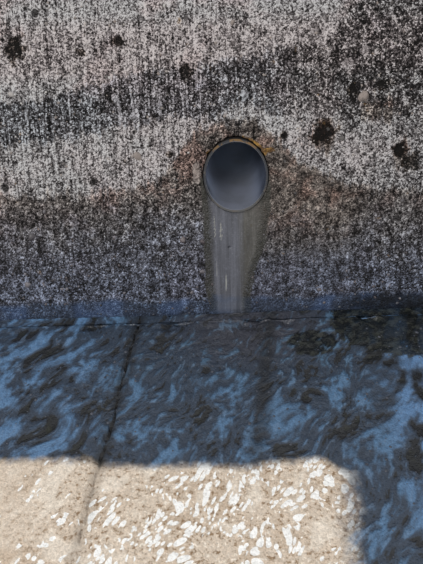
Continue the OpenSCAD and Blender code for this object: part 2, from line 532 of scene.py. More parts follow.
def face_toe(look, color, colours, runnel):
    """A painted blue sky reflection where water stands along the toe, and the dark growth along the toe."""
    torn = (look.blotch + look.patch) * 0.8
    # Painted sky reflection: the toe is tinted and laid with a film in two blues
    tide = look.ragged(look.read("tide"), torn, 0.3) * look.blend(runnel, 1.0, 0.45)
    slow = look.cloud(look.place, 0.045, 1.0).step(0.46, 0.58)
    film = look.mix(slow, srgb(50, 57, 71), srgb(66, 84, 116))
    color = look.mix(tide, color, look.mix(0.62, look.tint(1.0, color, colours.tide), film))
    mossy = look.ragged(look.read("moss"), look.blotch * 1.5, 0.25)
    return look.tint(mossy * 0.85, color, srgb(96, 98, 98))


def concrete_finish(name, colours, dry_level):
    """Sandy cast concrete with its stain band, damp and runs, led by the mesh's own masks."""
    look = Face(name)
    level, limed, crusted = face_level(look, dry_level)
    color = look.group(build_sand_shades, "Sand shades", Level=level)["Color"]
    color = face_tints(look, color, colours, limed, crusted)
    runnel = look.read("runnel")
    edge = look.ragged(look.read("algae"), look.blotch * 1.2, 0.3)
    color = look.mix(edge * 0.85, color, colours.algae)
    color = look.mix(runnel * 0.92, color, runnel_color(look, colours))
    color = face_toe(look, color, colours, runnel)
    relief = look.sand["Height"] + look.slow["Speck"] * 0.8
    look.bump(relief * look.blend(runnel, 1.0, 0.12), 0.0018)
    sodden = look.most(runnel, edge * 0.8)
    gloss = look.blend(sodden, look.blend(look.foot, 0.95, 0.6), 0.22)
    return look.done(Base_Color=color, Roughness=gloss, Specular_IOR_Level=0.2)


class Bed(Finish):
    """The apron's material: the noise that its parts share, drawn out along the fall of the bed."""

    def __init__(self, name):
        super().__init__(name)
        self.sand, self.slow = self.grain(1.0), self.mottle()
        self.patch, self.speck = self.slow["Patch"] - 0.5, self.slow["Speck"] - 0.5
        self.lively, self.bleached = self.read("lively"), self.read("bleached")
        bend = self.vector("SCALE", self.wander(self.place, 14.0, 1.0), 0.045)
        turned = {
            "Vector": self.vector("ADD", self.place, bend),
            "Rotation": (0, 0, math.radians(-30)),
            "Scale": (1.0, 2.1, 1.0),
        }
        self.drift = self.add("ShaderNodeMapping", turned, vector_type="TEXTURE")
        self.wave = self.cloud(self.drift, 0.023, 2.0, 0.45)
        self.fine = self.cloud(self.drift, 0.007)
        self.film = self.blend(self.blend(self.lively, 0.55, 0.2), self.wave, self.fine)


def shaded_wet_bed(look, colours):
    """The wet part in painted shadow, with painted sky reflections as a paler sheen, dark ripple reflections
    and small highlights, and its dark growth.
    """
    calm, lively, film = look.read("calm"), look.lively, look.film
    # Painted sky reflection: the paler sheen, strongest where the bed is lively
    sheen = (film + (lively - 0.5) * 0.09).step(0.47, 0.62) * look.blend(calm, 1.0, 0.6)
    color = look.mix(calm * 0.8, colours.slate, srgb(62, 62, 69))
    bright = look.tint(1.0, colours.sheen, look.mix(lively, (0.80, 0.92, 0.90), (1.35, 1.5, 1.65)))
    color = look.mix(sheen, color, bright)
    # Painted reflection: dark blotches of the ripples
    dark = film.step(0.445, 0.405) * look.blend(calm, 0.9, 0.6)
    color = look.mix(dark, color, look.mix(lively, srgb(42, 42, 42), srgb(20, 21, 22)))
    # Painted highlights: small pale flecks
    color = look.mix(look.fine.step(0.62, 0.68, 0.0, 0.25), color, srgb(112, 130, 152))
    moss = look.ragged(look.read("moss"), look.speck * 1.5 + (film - 0.5) * -2.2, 0.2)
    growth = look.mix(look.speck.step(-0.02, 0.10), srgb(13, 16, 16), srgb(44, 46, 41))
    return look.mix(moss * 0.92, color, growth)


def sunlit_silt_bed(look, colours):
    """The silt, in painted sunlight, with darker and paler specks and painted sun glints strewn over it as
    white dots.
    """
    color = look.mix(look.patch.step(-0.10, 0.15, 0.0, 0.5), colours.silt, srgb(186, 162, 137))
    sharp = look.cloud(look.place, 0.0042, 3.0, 0.7)
    granular = look.blend(look.bleached.step(0.3, 1.0), 0.35, 1.0)
    color = look.mix(sharp.step(0.52, 0.66) * granular, color, srgb(146, 120, 92))
    color = look.mix(sharp.step(0.42, 0.34) * granular, color, srgb(244, 232, 216))
    color = look.mix(look.wave.step(0.52, 0.62, 0.0, 0.6), color, srgb(240, 228, 212))
    # Painted sun glints: white dots, thickest in their cluster
    cluster = look.slow["Patch"].step(0.45, 0.56) * look.bleached
    for size, share in ((0.0070, 0.80), (0.0042, 0.74)):
        draw, gap = look.cells(look.drift, size)
        picked = look.math("GREATER_THAN", draw + cluster * share, 1.0)
        color = look.mix(gap.step(0.46, 0.36) * picked, color, srgb(253, 251, 247))
    return color


def marred_bed(look, color, silted):
    """The raw sides, painted shade in and beside the crack and in the pits, and a soft dark line."""
    cast_grey = look.mix(look.patch.step(-0.1, 0.12), srgb(118, 113, 108), srgb(92, 88, 85))
    color = look.mix(look.ragged(look.read("raw"), look.speck * 0.8, 0.2) * 0.8, color, cast_grey)
    color = look.tint(1.0, color, 1.0 + look.sand["Value"] * look.blend(silted, 0.5, 0.45))
    cracked = look.read("crack") + look.speck * 0.3
    bare = 1.0 - silted * 0.65
    # Painted shade beside the crack, and a soft darker line
    beside = look.most(cracked.step(0.85, 0.1, 0.0, 0.7) * bare, look.read("seep") * 0.75)
    color = look.mix(beside, color, srgb(36, 37, 39))
    # Painted shade in the pits and the crack
    hollow = look.most(look.read("hollow").step(0.15, 0.9) * bare, cracked.step(0.17, 0.09) * bare)
    return look.mix(hollow * 0.85, color, srgb(24, 23, 22))


def apron_finish(name, colours):
    """Wet concrete by the wall in painted shadow with painted sky reflections, and tan silt further out in
    painted sunlight.
    """
    look = Bed(name)
    silted = look.ragged(look.read("silt"), (look.patch + look.speck) * 0.3, 0.25)
    # Painted light: the wet part lies in painted shadow, the silted part in painted sunlight
    color = look.mix(silted, shaded_wet_bed(look, colours), sunlit_silt_bed(look, colours))
    color = marred_bed(look, color, silted)
    ripple = look.film * look.blend(silted, 5.0, 0.6)
    look.bump(ripple + look.sand["Height"] * 0.4, 0.0016, 0.8)
    return look.done(Base_Color=color, Roughness=look.blend(silted, 0.26, 0.8), Specular_IOR_Level=0.35)


def pipe_skin(look, height, depth, patch, speck):
    """The pipe outside: dull, with painted shade in the crescent just behind the mouth's mortar, and its cut
    end in painted shade, darker towards its top, with stains and ochre at its crown.
    """
    skin = look.mix(patch.step(0.42, 0.6), srgb(142, 137, 129), srgb(112, 104, 94))
    # Painted shade: the cut end is dark grey, darker towards its top
    cut_end = look.mix(height.step(-0.034, -0.016), srgb(82, 82, 82), srgb(44, 45, 49))
    cut_end = look.mix(speck.step(0.50, 0.62, 0.0, 0.7), cut_end, srgb(92, 84, 76))
    crown = height.step(0.022, 0.032) * speck.step(0.46, 0.52)
    cut_end = look.mix(crown, cut_end, srgb(112, 86, 52))
    return look.layers(
        skin,
        (speck.step(0.50, 0.66, 0.0, 0.7), srgb(70, 61, 53)),
        (speck.step(0.42, 0.34, 0.0, 0.5), srgb(164, 160, 152)),
        # Painted shade: near black just behind the face, where the skin shows in the crescent gap
        (depth.step(-0.040, -0.014), srgb(24, 20, 18)),
        (depth.step(-0.0008, -0.0003), cut_end),
    )


def pipe_bore(look, side, height, depth, patch):
    """The bore in painted light: lighter and bluer towards its top and deeper in, where the bore lies in
    shade, with painted shade on its right side, darker on its left side and at its lip.
    """
    # Painted light: the bore grows lighter and bluer towards its top and deeper in
    lit_bore = look.mix(height.step(-0.034, -0.010), srgb(108, 112, 124), srgb(160, 171, 196))
    lip = depth.step(-0.018, -0.003) * height.step(-0.032, -0.012)
    darker_left = side.step(-0.004, -0.020) * height.step(-0.014, 0.004)
    # Painted shade on the bore's right side
    shaded = side.step(0.006, 0.020) * height.step(-0.032, -0.014)
    return look.layers(
        lit_bore,
        (height.step(-0.005, 0.026), srgb(236, 244, 252)),
        (depth.step(-0.050, -0.130), srgb(176, 194, 222)),
        (patch.step(0.45, 0.65, 0.0, 0.3), srgb(78, 80, 82)),
        (lip * 0.85, srgb(54, 57, 63)),
        (darker_left * 0.8, srgb(40, 46, 48)),
        (shaded * 0.85, srgb(46, 51, 64)),
    )


def pipe_finish(name):
    """Aged drain pipe: a dull skin outside and a bore in painted light and shade, by each point's place about
    the mouth.
    """
    look = Finish(name)
    mottle = look.mottle()
    patch, speck = mottle["Patch"], mottle["Speck"]
    middle = look.vector("SUBTRACT", look.place, tuple(MOUTH))
    radius = look.vector("LENGTH", look.vector("MULTIPLY", middle, (1, 0, 1)), (0, 0, 0))
    inside = radius.step(BORE_RADIUS + 0.0006, BORE_RADIUS + 0.0001)
    axes = look.axes(middle)
    side, height = axes[0], axes[2]
    depth = look.vector("DOT_PRODUCT", middle, tuple(FACE_OUT))
    skin = pipe_skin(look, height, depth, patch, speck)
    bore = pipe_bore(look, side, height, depth, patch)
    look.bump(speck, 0.0006, 0.5)
    return look.done(Base_Color=look.mix(inside, skin, bore), Roughness=look.blend(inside, 0.7, 0.42))


def filler_finish(name):
    """Black bituminous filler, dusty on its high spots."""
    look = Finish(name)
    grain, mottle = look.grain(0.5), look.mottle()
    dust = mottle["Speck"].step(0.45, 0.7, 0.0, 0.55)
    color = look.mix(dust, srgb(30, 29, 29), srgb(86, 82, 77))
    look.bump(mottle["Speck"] + grain["Height"], 0.002, 0.8)
    return look.done(Base_Color=look.tint(1.0, color, 1.0 + grain["Value"]), Roughness=0.8)


def stone_finish(name):
    """Grains and pebbles: grey, brown and pink, darker where the wall is damp, and on the apron in the
    apron's painted shade and sky reflection.
    """
    look = Finish(name)
    speck = look.mottle()["Speck"]
    height = look.axes(look.place)[2]
    color = look.ramp(look.read("tone"), (
        (0.0, (38, 36, 35)), (0.3, (84, 80, 78)), (0.55, (126, 121, 118)),
        (0.75, (148, 136, 129)), (0.9, (170, 165, 161)), (1.0, (200, 196, 192)),
    ))
    color = look.mix(speck.step(0.5, 0.7, 0.0, 0.4), color, srgb(60, 56, 54))
    damp = height.step(0.29, 0.22)
    color = look.tint(damp, color, srgb(158, 156, 166))
    # Painted shade and sky reflection: stones on the apron take its slate blue
    at_apron = height.step(BED + 0.004, BED)
    color = look.mix(at_apron * 0.85, color, srgb(56, 62, 74))
    look.bump(speck, 0.0008, 0.5)
    return look.done(Base_Color=color, Roughness=look.blend(damp, 0.85, 0.45))


def plain_finish(name, color, roughness):
    """One colour all over."""
    return Finish(name).done(Base_Color=tuple(color), Roughness=roughness)


def material(name, build, *args):
    """The material of that name, built the first time."""
    return bpy.data.materials.get(name) or build(name, *args)


# Castings


def line(start, end, steps):
    """Points from start to end, both included."""
    share = np.linspace(0, 1, steps + 1)[:, None]
    return np.asarray(start, float) * (1 - share) + np.asarray(end, float) * share


def joined(*lines):
    """Lines end to end, without the doubles where they meet."""
    return np.concatenate([part[:-1] for part in lines[:-1]] + [lines[-1]])


def walk(points):
    """Share of the way along a line at each of its points."""
    steps = np.linalg.norm(np.diff(points, axis=0), axis=1)
    return np.concatenate([[0], np.cumsum(steps)]) / steps.sum()


def sample(points, shares):
    """Points at given shares of the way along a line."""
    at = walk(points)
    return np.stack([np.interp(shares, at, points[:, axis]) for axis in range(3)], 1)


class Casting:
    """Points and faces of one casting, made patch by patch and closed by merging its doubles."""

    def __init__(self):
        self.points = []
        self.faces = []
        self.count = 0

    def add(self, points):
        """Adds points and returns their numbers."""
        points = np.asarray(points, float).reshape(-1, 3)
        self.points.append(points)
        self.count += len(points)
        return np.arange(self.count - len(points), self.count)

    def quads(self, ids, gap=None):
        """Quads over a table of point numbers. gap is a block of rows and columns left open."""
        keep = np.ones((len(ids) - 1, len(ids[0]) - 1), bool)
        if gap:
            keep[gap[0]:gap[1], gap[2]:gap[3]] = False
        corners = np.stack([ids[:-1, :-1], ids[:-1, 1:], ids[1:, 1:], ids[1:, :-1]], -1)
        self.faces.extend(corners[keep].tolist())

    def stitch(self, outer, outer_at, inner, inner_at):
        """Triangles between two closed loops, by each point's place round its loop, from 0 to 4."""
        outer_at = np.append(outer_at, outer_at[0] + 4)
        inner_at = np.append(inner_at, inner_at[0] + 4)
        first = second = 0
        while first < len(outer) or second < len(inner):
            here, there = outer[first % len(outer)], inner[second % len(inner)]
            if second == len(inner) or (first < len(outer) and outer_at[first + 1] <= inner_at[second + 1]):
                first += 1
                self.faces.append((here, outer[first % len(outer)], there))
            else:
                second += 1
                self.faces.append((here, inner[second % len(inner)], there))

    def patch(self, sides, across, up, gap=None):
        """A face between four lines that run round it, with a grid of its own inside. Returns the grid."""
        bottom, right, top, left = sides
        us = np.arange(1, across) / across
        vs = np.arange(1, up) / up
        low, high = sample(bottom, us), sample(top[::-1], us)
        near, far = sample(left[::-1], vs), sample(right, vs)
        u, v = us[None, :, None], vs[:, None, None]
        corners = (1 - v) * ((1 - u) * bottom[0] + u * bottom[-1]) + v * ((1 - u) * top[-1] + u * top[0])
        grid = (1 - v) * low[None] + v * high[None] + (1 - u) * near[:, None] + u * far[:, None] - corners
        ids = self.add(grid).reshape(up - 1, across - 1)
        self.quads(ids, gap)
        border = self.add(np.concatenate([side[:-1] for side in sides]))
        border_at = np.concatenate([walk(side)[:-1] + turn for turn, side in enumerate(sides)])
        inner, inner_at = loop_of(ids, us, vs)
        self.stitch(border, border_at, inner, inner_at)
        return ids

    def ring(self, rows):
        """Quads between closed rows of equally many points."""
        ids = np.stack([self.add(row) for row in rows])
        self.quads(np.concatenate([ids, ids[:, :1]], 1))
        return ids

    def closed(self):
        """Merged points and faces without the collapsed ones."""
        points = np.concatenate(self.points)
        keys, index, back = np.unique(
            np.round(points / TINY).astype(np.int64), axis=0, return_index=True, return_inverse=True,
        )
        back = back.reshape(-1)
        faces = []
        for face in self.faces:
            merged = list(dict.fromkeys(back[list(face)].tolist()))
            if len(merged) > 2:
                faces.append(merged)
        return points[index], faces


def loop_of(ids, us, vs):
    """The outermost loop of a grid, with each point's place round it."""
    parts = [ids[0, :-1], ids[:-1, -1], ids[-1, :0:-1], ids[:0:-1, 0]]
    places = [us[:-1], 1 + vs[:-1], 3 - us[:0:-1], 4 - vs[:0:-1]]
    return np.concatenate(parts), np.concatenate(places)


def block_loop(ids, rows, columns):
    """The loop of points round a block of a grid."""
    (low, high), (left, right) = rows, columns
    parts = [ids[low, left:right], ids[low:high, right], ids[high, right:left:-1], ids[high:low:-1, left]]
    return np.concatenate(parts)


class Section:
    """A casting's outline across the wall: corners up the front, over the top and down the back."""

    def __init__(self, corners, along, across, sides):
        self.corners = corners
        self.along = along
        self.across = across
        self.sides = sides

    def planes(self):
        """Outward normal and offset of each face in the section."""
        found = []
        for (y, z), (next_y, next_z) in zip(self.corners, self.corners[1:] + self.corners[:1]):
            run = Vector((next_y - y, next_z - z)).normalized()
            normal = (-run.y, run.x)
            found.append((normal[0], normal[1], normal[0] * y + normal[1] * z))
        return np.array(found)


# Mesh steps along and up each end of a casting
END_STEPS = 14


def cast(section, middle, half, holes=()):
    """The closed surface of a casting between two ends. Holes make the faces that aren't plain."""
    made = Casting()
    low, high = middle - half, middle + half
    corners, count = section.corners, len(section.corners)
    ends = {low: [], high: []}
    for at in range(count):
        (y, z), (next_y, next_z) = corners[at], corners[(at + 1) % count]
        steps = section.across[at]
        for x in ends:
            ends[x].append(line((x, y, z), (x, next_y, next_z), steps))
        bottom = line((low, y, z), (high, y, z), section.along[at])
        top = line((high, next_y, next_z), (low, next_y, next_z), section.along[(at + 1) % count])
        columns = min(section.along[at], section.along[(at + 1) % count])
        sides = (bottom, ends[high][at], top, ends[low][at][::-1])
        if at in holes:
            holes[at](made, sides, columns, steps)
        else:
            made.patch(sides, columns, steps)
    for x, lines in ends.items():
        sides = [joined(*(lines[at] for at in side)) for side in section.sides]
        if x == high:
            sides = [side[::-1] for side in reversed(sides)]
        made.patch(sides, END_STEPS, END_STEPS)
    return made


# Rounds that settle a point between the planes it is moved behind
SETTLING = 12


def inward(points, section, middle, half, radius):
    """Each point's nearest place in the casting shrunk by radius on its exposed faces."""
    planes = section.planes()
    exposed = planes[:, 1] > -0.9
    x = np.clip(points[:, 0], middle - half + radius, middle + half - radius)
    limits = planes[exposed]
    flat = points[:, 1:].copy()
    for _ in range(SETTLING):
        for across, up, offset in limits:
            over = flat @ (across, up) - (offset - radius)
            flat -= np.maximum(over, 0)[:, None] * (across, up)
    return np.column_stack([x, flat])


def face_gap(points, section, middle, half, skip):
    """Distance from each point to the next exposed face, so that arrises read as nearly nothing."""
    planes = section.planes()
    gaps = [
        offset - points[:, 1:] @ (across, up)
        for at, (across, up, offset) in enumerate(planes) if at not in skip
    ]
    gaps += [half - np.abs(points[:, 0] - middle)]
    return np.sort(np.stack(gaps), 0)[1]


def noise_field(points, size, seed=0.0):
    """Smooth noise from about -1 to 1 at each point."""
    places = points / size + seed
    return np.array([noise.noise(Vector(place)) for place in places])


def ease(value, low, high):
    """A soft step from 0 to 1 as the value goes from low to high."""
    share = np.clip((value - low) / (high - low), 0, 1)
    return share * share * (3 - 2 * share)


def curve_at(x, points):
    """Height of a line drawn through a few given points, straight between them."""
    xs, zs = np.array(points).T
    return np.interp(x, xs, zs)


# Weathering of the wall's face, in metres along and up the wall

BAND_TOP = [
    (-0.99, 0.30), (-0.6, 0.325), (-0.264, 0.345), (-0.219, 0.346), (-0.172, 0.361), (-0.105, 0.368),
    (0.002, 0.379), (0.063, 0.390), (0.102, 0.396), (0.115, 0.408), (0.135, 0.440), (0.17, 0.480),
    (0.30, 0.505), (0.52, 0.480), (0.74, 0.43), (0.99, 0.39),
]
BAND_FOOT = [
    (-0.99, 0.262), (-0.6, 0.272), (-0.269, 0.302), (-0.223, 0.305), (-0.165, 0.312), (-0.130, 0.319),
    (-0.06, 0.325), (0.0, 0.329), (0.05, 0.322), (0.108, 0.322), (0.154, 0.320), (0.205, 0.318),
    (0.45, 0.318), (0.7, 0.345), (0.99, 0.34),
]
BROWN_TOP = [
    (-0.99, 0.24), (-0.274, 0.250), (-0.135, 0.246), (-0.091, 0.263), (-0.073, 0.277), (-0.061, 0.293),
    (-0.051, 0.306), (-0.034, 0.315), (-0.002, 0.320), (0.023, 0.316), (0.040, 0.303), (0.057, 0.291),
    (0.080, 0.273), (0.106, 0.259), (0.156, 0.247), (0.99, 0.235),
]
DAMP_TOP = [
    (-0.99, 0.205), (-0.162, 0.204), (-0.055, 0.213), (0.074, 0.200), (0.220, 0.184), (0.99, 0.20),
]
# Crusts: place along the wall, height, half width, half height
CRUSTS = [
    (-0.244, 0.393, 0.016, 0.018), (0.103, 0.305, 0.017, 0.020), (-0.172, 0.392, 0.0085, 0.008),
    (-0.127, 0.399, 0.008, 0.009), (0.056, 0.304, 0.007, 0.006), (0.205, 0.272, 0.016, 0.014),
    (0.134, 0.344, 0.009, 0.014), (0.189, 0.285, 0.008, 0.009), (0.168, 0.352, 0.018, 0.007),
    (-0.075, 0.288, 0.005, 0.005), (-0.053, 0.368, 0.009, 0.013),
]
# Brown patches above the damp, in the same order
BROWNS = [
    (0.168, 0.325, 0.040, 0.020), (0.098, 0.300, 0.032, 0.026), (0.192, 0.283, 0.014, 0.030),
    (0.228, 0.32, 0.02, 0.04),
]
# Strength of the drip streaks along the wall
DRAWN = [
    (-0.99, 0.9), (-0.55, 1.5), (-0.05, 1.5), (0.06, 0.9), (0.13, 0.35), (0.3, 0.5), (0.6, 1.3),
    (0.99, 0.8),
]
# Pale spots, in the same order: lime deposits, and, the last five, in the runnel, painted highlights of
# running water
PALE_SPOTS = [
    (-0.045, 0.268, 0.007, 0.015), (-0.042, 0.360, 0.0034, 0.014), (-0.1295, 0.330, 0.0030, 0.030),
    (-0.115, 0.332, 0.0026, 0.024), (-0.226, 0.343, 0.0045, 0.011), (-0.146, 0.361, 0.0026, 0.010),
    (-0.084, 0.335, 0.0030, 0.013), (-0.135, 0.346, 0.0045, 0.006), (0.012, 0.345, 0.006, 0.007),
    (0.128, 0.372, 0.008, 0.010), (0.147, 0.385, 0.007, 0.007), (-0.253, 0.156, 0.006, 0.006),
    (-0.211, 0.149, 0.005, 0.003), (0.098, 0.140, 0.005, 0.006), (-0.235, 0.335, 0.003, 0.015),
    (-0.026, 0.210, 0.0016, 0.018), (-0.019, 0.206, 0.0022, 0.014), (-0.025, 0.168, 0.0014, 0.016),
    (-0.014, 0.150, 0.0024, 0.013), (-0.022, 0.140, 0.0014, 0.008),
]
# Blowholes seen one by one: place along the wall, height, radius
BLOWHOLES = [
    (-0.217, 0.429, 0.0036), (-0.227, 0.433, 0.0025), (-0.268, 0.259, 0.0038), (-0.166, 0.262, 0.0034),
    (-0.071, 0.300, 0.0022), (-0.127, 0.401, 0.0030), (0.058, 0.303, 0.0028), (0.187, 0.287, 0.0030),
    (-0.113, 0.214, 0.0026), (0.121, 0.247, 0.0030),
]
# Dark drips, in the same order
DRIPS = [
    (-0.206, 0.405, 0.0030, 0.055), (-0.2105, 0.340, 0.0030, 0.034), (-0.149, 0.330, 0.003, 0.020),
    (-0.074, 0.345, 0.003, 0.016), (-0.094, 0.362, 0.0022, 0.014), (0.017, 0.318, 0.0014, 0.010),
]
# Sides of the runnel: height, place along the wall
RUNNEL_LEFT = [
    (0.12, -0.030), (0.132, -0.031), (0.149, -0.034), (0.171, -0.033), (0.193, -0.034),
    (0.228, -0.036),
]
RUNNEL_RIGHT = [
    (0.12, 0.009), (0.131, 0.010), (0.148, 0.013), (0.170, 0.017), (0.191, 0.026), (0.226, 0.034),
]


def spots(x, z, places, spread=1.0):
    """1 in the middle of the nearest oval spot, 0 at its edge and beyond."""
    def share(at_x, at_z, half_x, half_z):
        """The same for one spot."""
        return np.clip(1 - np.hypot((x - at_x) / half_x, (z - at_z) / half_z) / spread, 0, 1)
    return np.max([share(*place) for place in places], 0)


def across_line(value, width):
    """A soft step, one half where value is 0."""
    return np.clip(0.5 + value / width, 0, 1)


def ridge(value, low, high):
    """1 near a value of 0, falling to 0 between low and high on either side."""
    return 1 - ease(np.abs(value), low, high)


def runnel_at(z):
    """Middle and half width of the runnel at each height."""
    left, right = curve_at(z, RUNNEL_LEFT), curve_at(z, RUNNEL_RIGHT)
    return (left + right) / 2, (right - left) / 2


def wall_masks(points, front):
    """Masks that lead the colours of the face. front is 1 on the battered face."""
    x, z = points[:, 0], points[:, 2]
    slow = noise_field(points, 0.05, 3.1)
    quick = noise_field(points, 0.014, 8.7)
    height = z + 0.006 * slow + 0.003 * quick
    weak = 0.4 + 0.6 * front
    band = np.minimum(curve_at(x, BAND_TOP) - height, height - curve_at(x, BAND_FOOT))
    faint = 1 - 0.42 * spots(x, z, [(0.035, 0.338, 0.11, 0.022)]) ** 0.5
    coping = height - (WALL_TOP - 0.045)
    middle, half = runnel_at(z)
    side = np.abs(x - middle) - half - 0.003 * slow - 0.0015 * quick
    below = (z < DRAIN_Z) * front
    rim = ridge(np.hypot(x, z - DRAIN_Z) - PIPE_RADIUS - 0.001, 0.0, 0.006)
    crown = ease(z - DRAIN_Z, 0.012, 0.03)
    return {
        "stain": np.maximum(across_line(band, 0.020) * weak * faint, across_line(coping, 0.10) * 0.8),
        "brown": np.maximum(
            across_line(curve_at(x, BROWN_TOP) - height, 0.022) * np.maximum(front, 0.5),
            spots(x, z, BROWNS) * front,
        ),
        "foot": across_line(curve_at(x, DAMP_TOP) - height, 0.09) * front,
        "grime": (
            0.12 * rim * crown + 0.08 * ease(z, 0.44, 0.36) * ease(z, 0.20, 0.27) * ease(x, 0.11, 0.14)
            + 0.20 * ease(spots(x, z, DRIPS), 0, 0.5)
        ) * front,
        # Where the painted sky reflection lies along the toe
        "tide": across_line(BED + 0.013 + 0.003 * slow - z, 0.014) * front,
        "moss": np.clip(1.6 * spots(x, z, [(0.185, BED, 0.085, 0.020)]), 0, 1) * front,
        # Lime deposits, and painted highlights in the runnel
        "lime": ease(spots(x, z, PALE_SPOTS), 0, 0.4) * front,
        "runnel": (1 - ease(side, -0.009, 0)) * below,
        "algae": ridge(side + 0.001, 0.002, 0.010) * below,
        "crust": spots(x, z, CRUSTS) * front,
        "crust_reach": ease(spots(x, z, CRUSTS, 1.6), 0, 0.3) * front,
        "drawn": curve_at(x, DRAWN) * weak,
        "front": front,
        "ochre": (
            0.62 * rim * ease(x, 0.006, 0.024) * ease(z - DRAIN_Z, 0.018, 0.022)
            + spots(x, z, [(0.039, 0.289, 0.009, 0.004)]) + 0.45 * rim * crown
        ) * front,
    }


def wall_carve(points, front):
    """Depth of the wear that has a place of its own: blowholes, the runnel and the mortar's edge."""
    x, z = points[:, 0], points[:, 2]
    depth = np.zeros(len(points))
    for at_x, at_z, radius in BLOWHOLES:
        depth += 0.9 * radius * ease(spots(x, z, [(at_x, at_z, 1.5 * radius, 1.35 * radius)]), 0, 0.6)
    broken = 0.5 + 0.8 * noise_field(points, 0.006, 6.0)
    depth += 0.0018 * ease(spots(x, z, CRUSTS), 0.1, 0.7) * np.clip(broken, 0, 1)
    middle, half = runnel_at(z)
    trough = np.clip(1 - ((x - middle) / half) ** 2, 0, 1)
    depth += 0.0022 * np.sqrt(trough) * (z < DRAIN_Z) * ease(z, BED, BED + 0.01)
    seam = ridge(np.hypot(x, z - DRAIN_Z) - CORE_RADIUS, 0.0005, 0.0025) * (z > DRAIN_Z - 0.03)
    return (depth + 0.0006 * seam) * front


class Growth(Group):
    """A geometry node group that takes a mesh and a material."""

    def __init__(self, name, inputs):
        inputs = {"Geometry": "Geometry", **inputs, "Material": "Material"}
        super().__init__(name, "GeometryNodeTree", inputs, {"Geometry": "Geometry"})

    def read(self, name, kind="FLOAT"):
        """A point value of the mesh."""
        return self.add("GeometryNodeInputNamedAttribute", {"Name": name}, data_type=kind)[0]

    def keep(self, geometry, name, value, kind="FLOAT"):
        """The geometry with one more point value."""
        inputs = {"Geometry": geometry, "Name": name, "Value": value}
        return self.add("GeometryNodeStoreNamedAttribute", inputs, data_type=kind, domain="POINT")

    def shift(self, geometry, way, reach):
        """The geometry with each point moved along its way."""
        inputs = {"Geometry": geometry, "Offset": self.vector("SCALE", way, reach)}
        return self.add("GeometryNodeSetPosition", inputs)

    def draw(self, step, low=0.0, high=1.0, kind="FLOAT"):
        """A random value for each point. The step tells one draw from another."""
        made = self.add("FunctionNodeRandomValue", data_type=kind).made
        limits = {socket.name: socket for socket in made.inputs if socket.enabled}
        self.feed(limits["Min"], low)
        self.feed(limits["Max"], high)
        self.feed(limits["Seed"], self.given["Seed"] + float(step))
        return next(Value(self, socket) for socket in made.outputs if socket.enabled)

    def finish(self, geometry):
        """Makes what is left of instances real, sets the material and hands the group over."""
        real = self.add("GeometryNodeRealizeInstances", {"Geometry": geometry})
        inputs = {"Geometry": real, "Material": self.given["Material"]}
        return self.give(Geometry=self.add("GeometryNodeSetMaterial", inputs))


def relief_tree(name):
    """Geometry nodes that wear a casting: swell, grain, blowholes and chipped arrises."""
    wires = Growth(name, {
        "Swell": 0.001, "Grain": 0.001, "Pit Depth": 0.003, "Pit Spacing": 0.02, "Chip Depth": 0.006,
        "Seed": 0.0,
    })
    given = wires.given
    place = wires.vector("ADD", wires.add("GeometryNodeInputPosition"), given["Seed"])
    wear, carve = wires.read("wear"), wires.read("carve")
    swell = wires.cloud(place, 0.11) * given["Swell"]
    fine = wires.blend(0.5, wires.cloud(place, 0.0062, 2.0, 0.7), wires.cloud(place, 0.018))
    grain = fine.step(0.25, 0.72) * given["Grain"] * wires.read("rough")

    draw, distance = wires.cells(place, given["Pit Spacing"])
    radius = draw.step(0.45, 1.0, 0.0, 0.15)
    pit = distance.step(radius, radius * 0.45) * wires.math("GREATER_THAN", radius, 0.02) * wear
    broken = wires.cloud(place, 0.030, 3.0, 0.6).step(0.5, 0.68)
    chip = wires.read("edge").step(0.013, 0.001) * broken * wear

    depth = (swell + grain) * wear + pit * given["Pit Depth"] + chip * given["Chip Depth"] + carve
    moved = wires.shift(given["Geometry"], wires.read("out", "FLOAT_VECTOR"), depth * -1.0)
    # Mask of painted shade in the pits, the carved wear and the crack
    hollow = wires.most(pit, carve / 0.002 * wires.read("pitted"))
    return wires.finish(wires.keep(moved, "hollow", hollow))


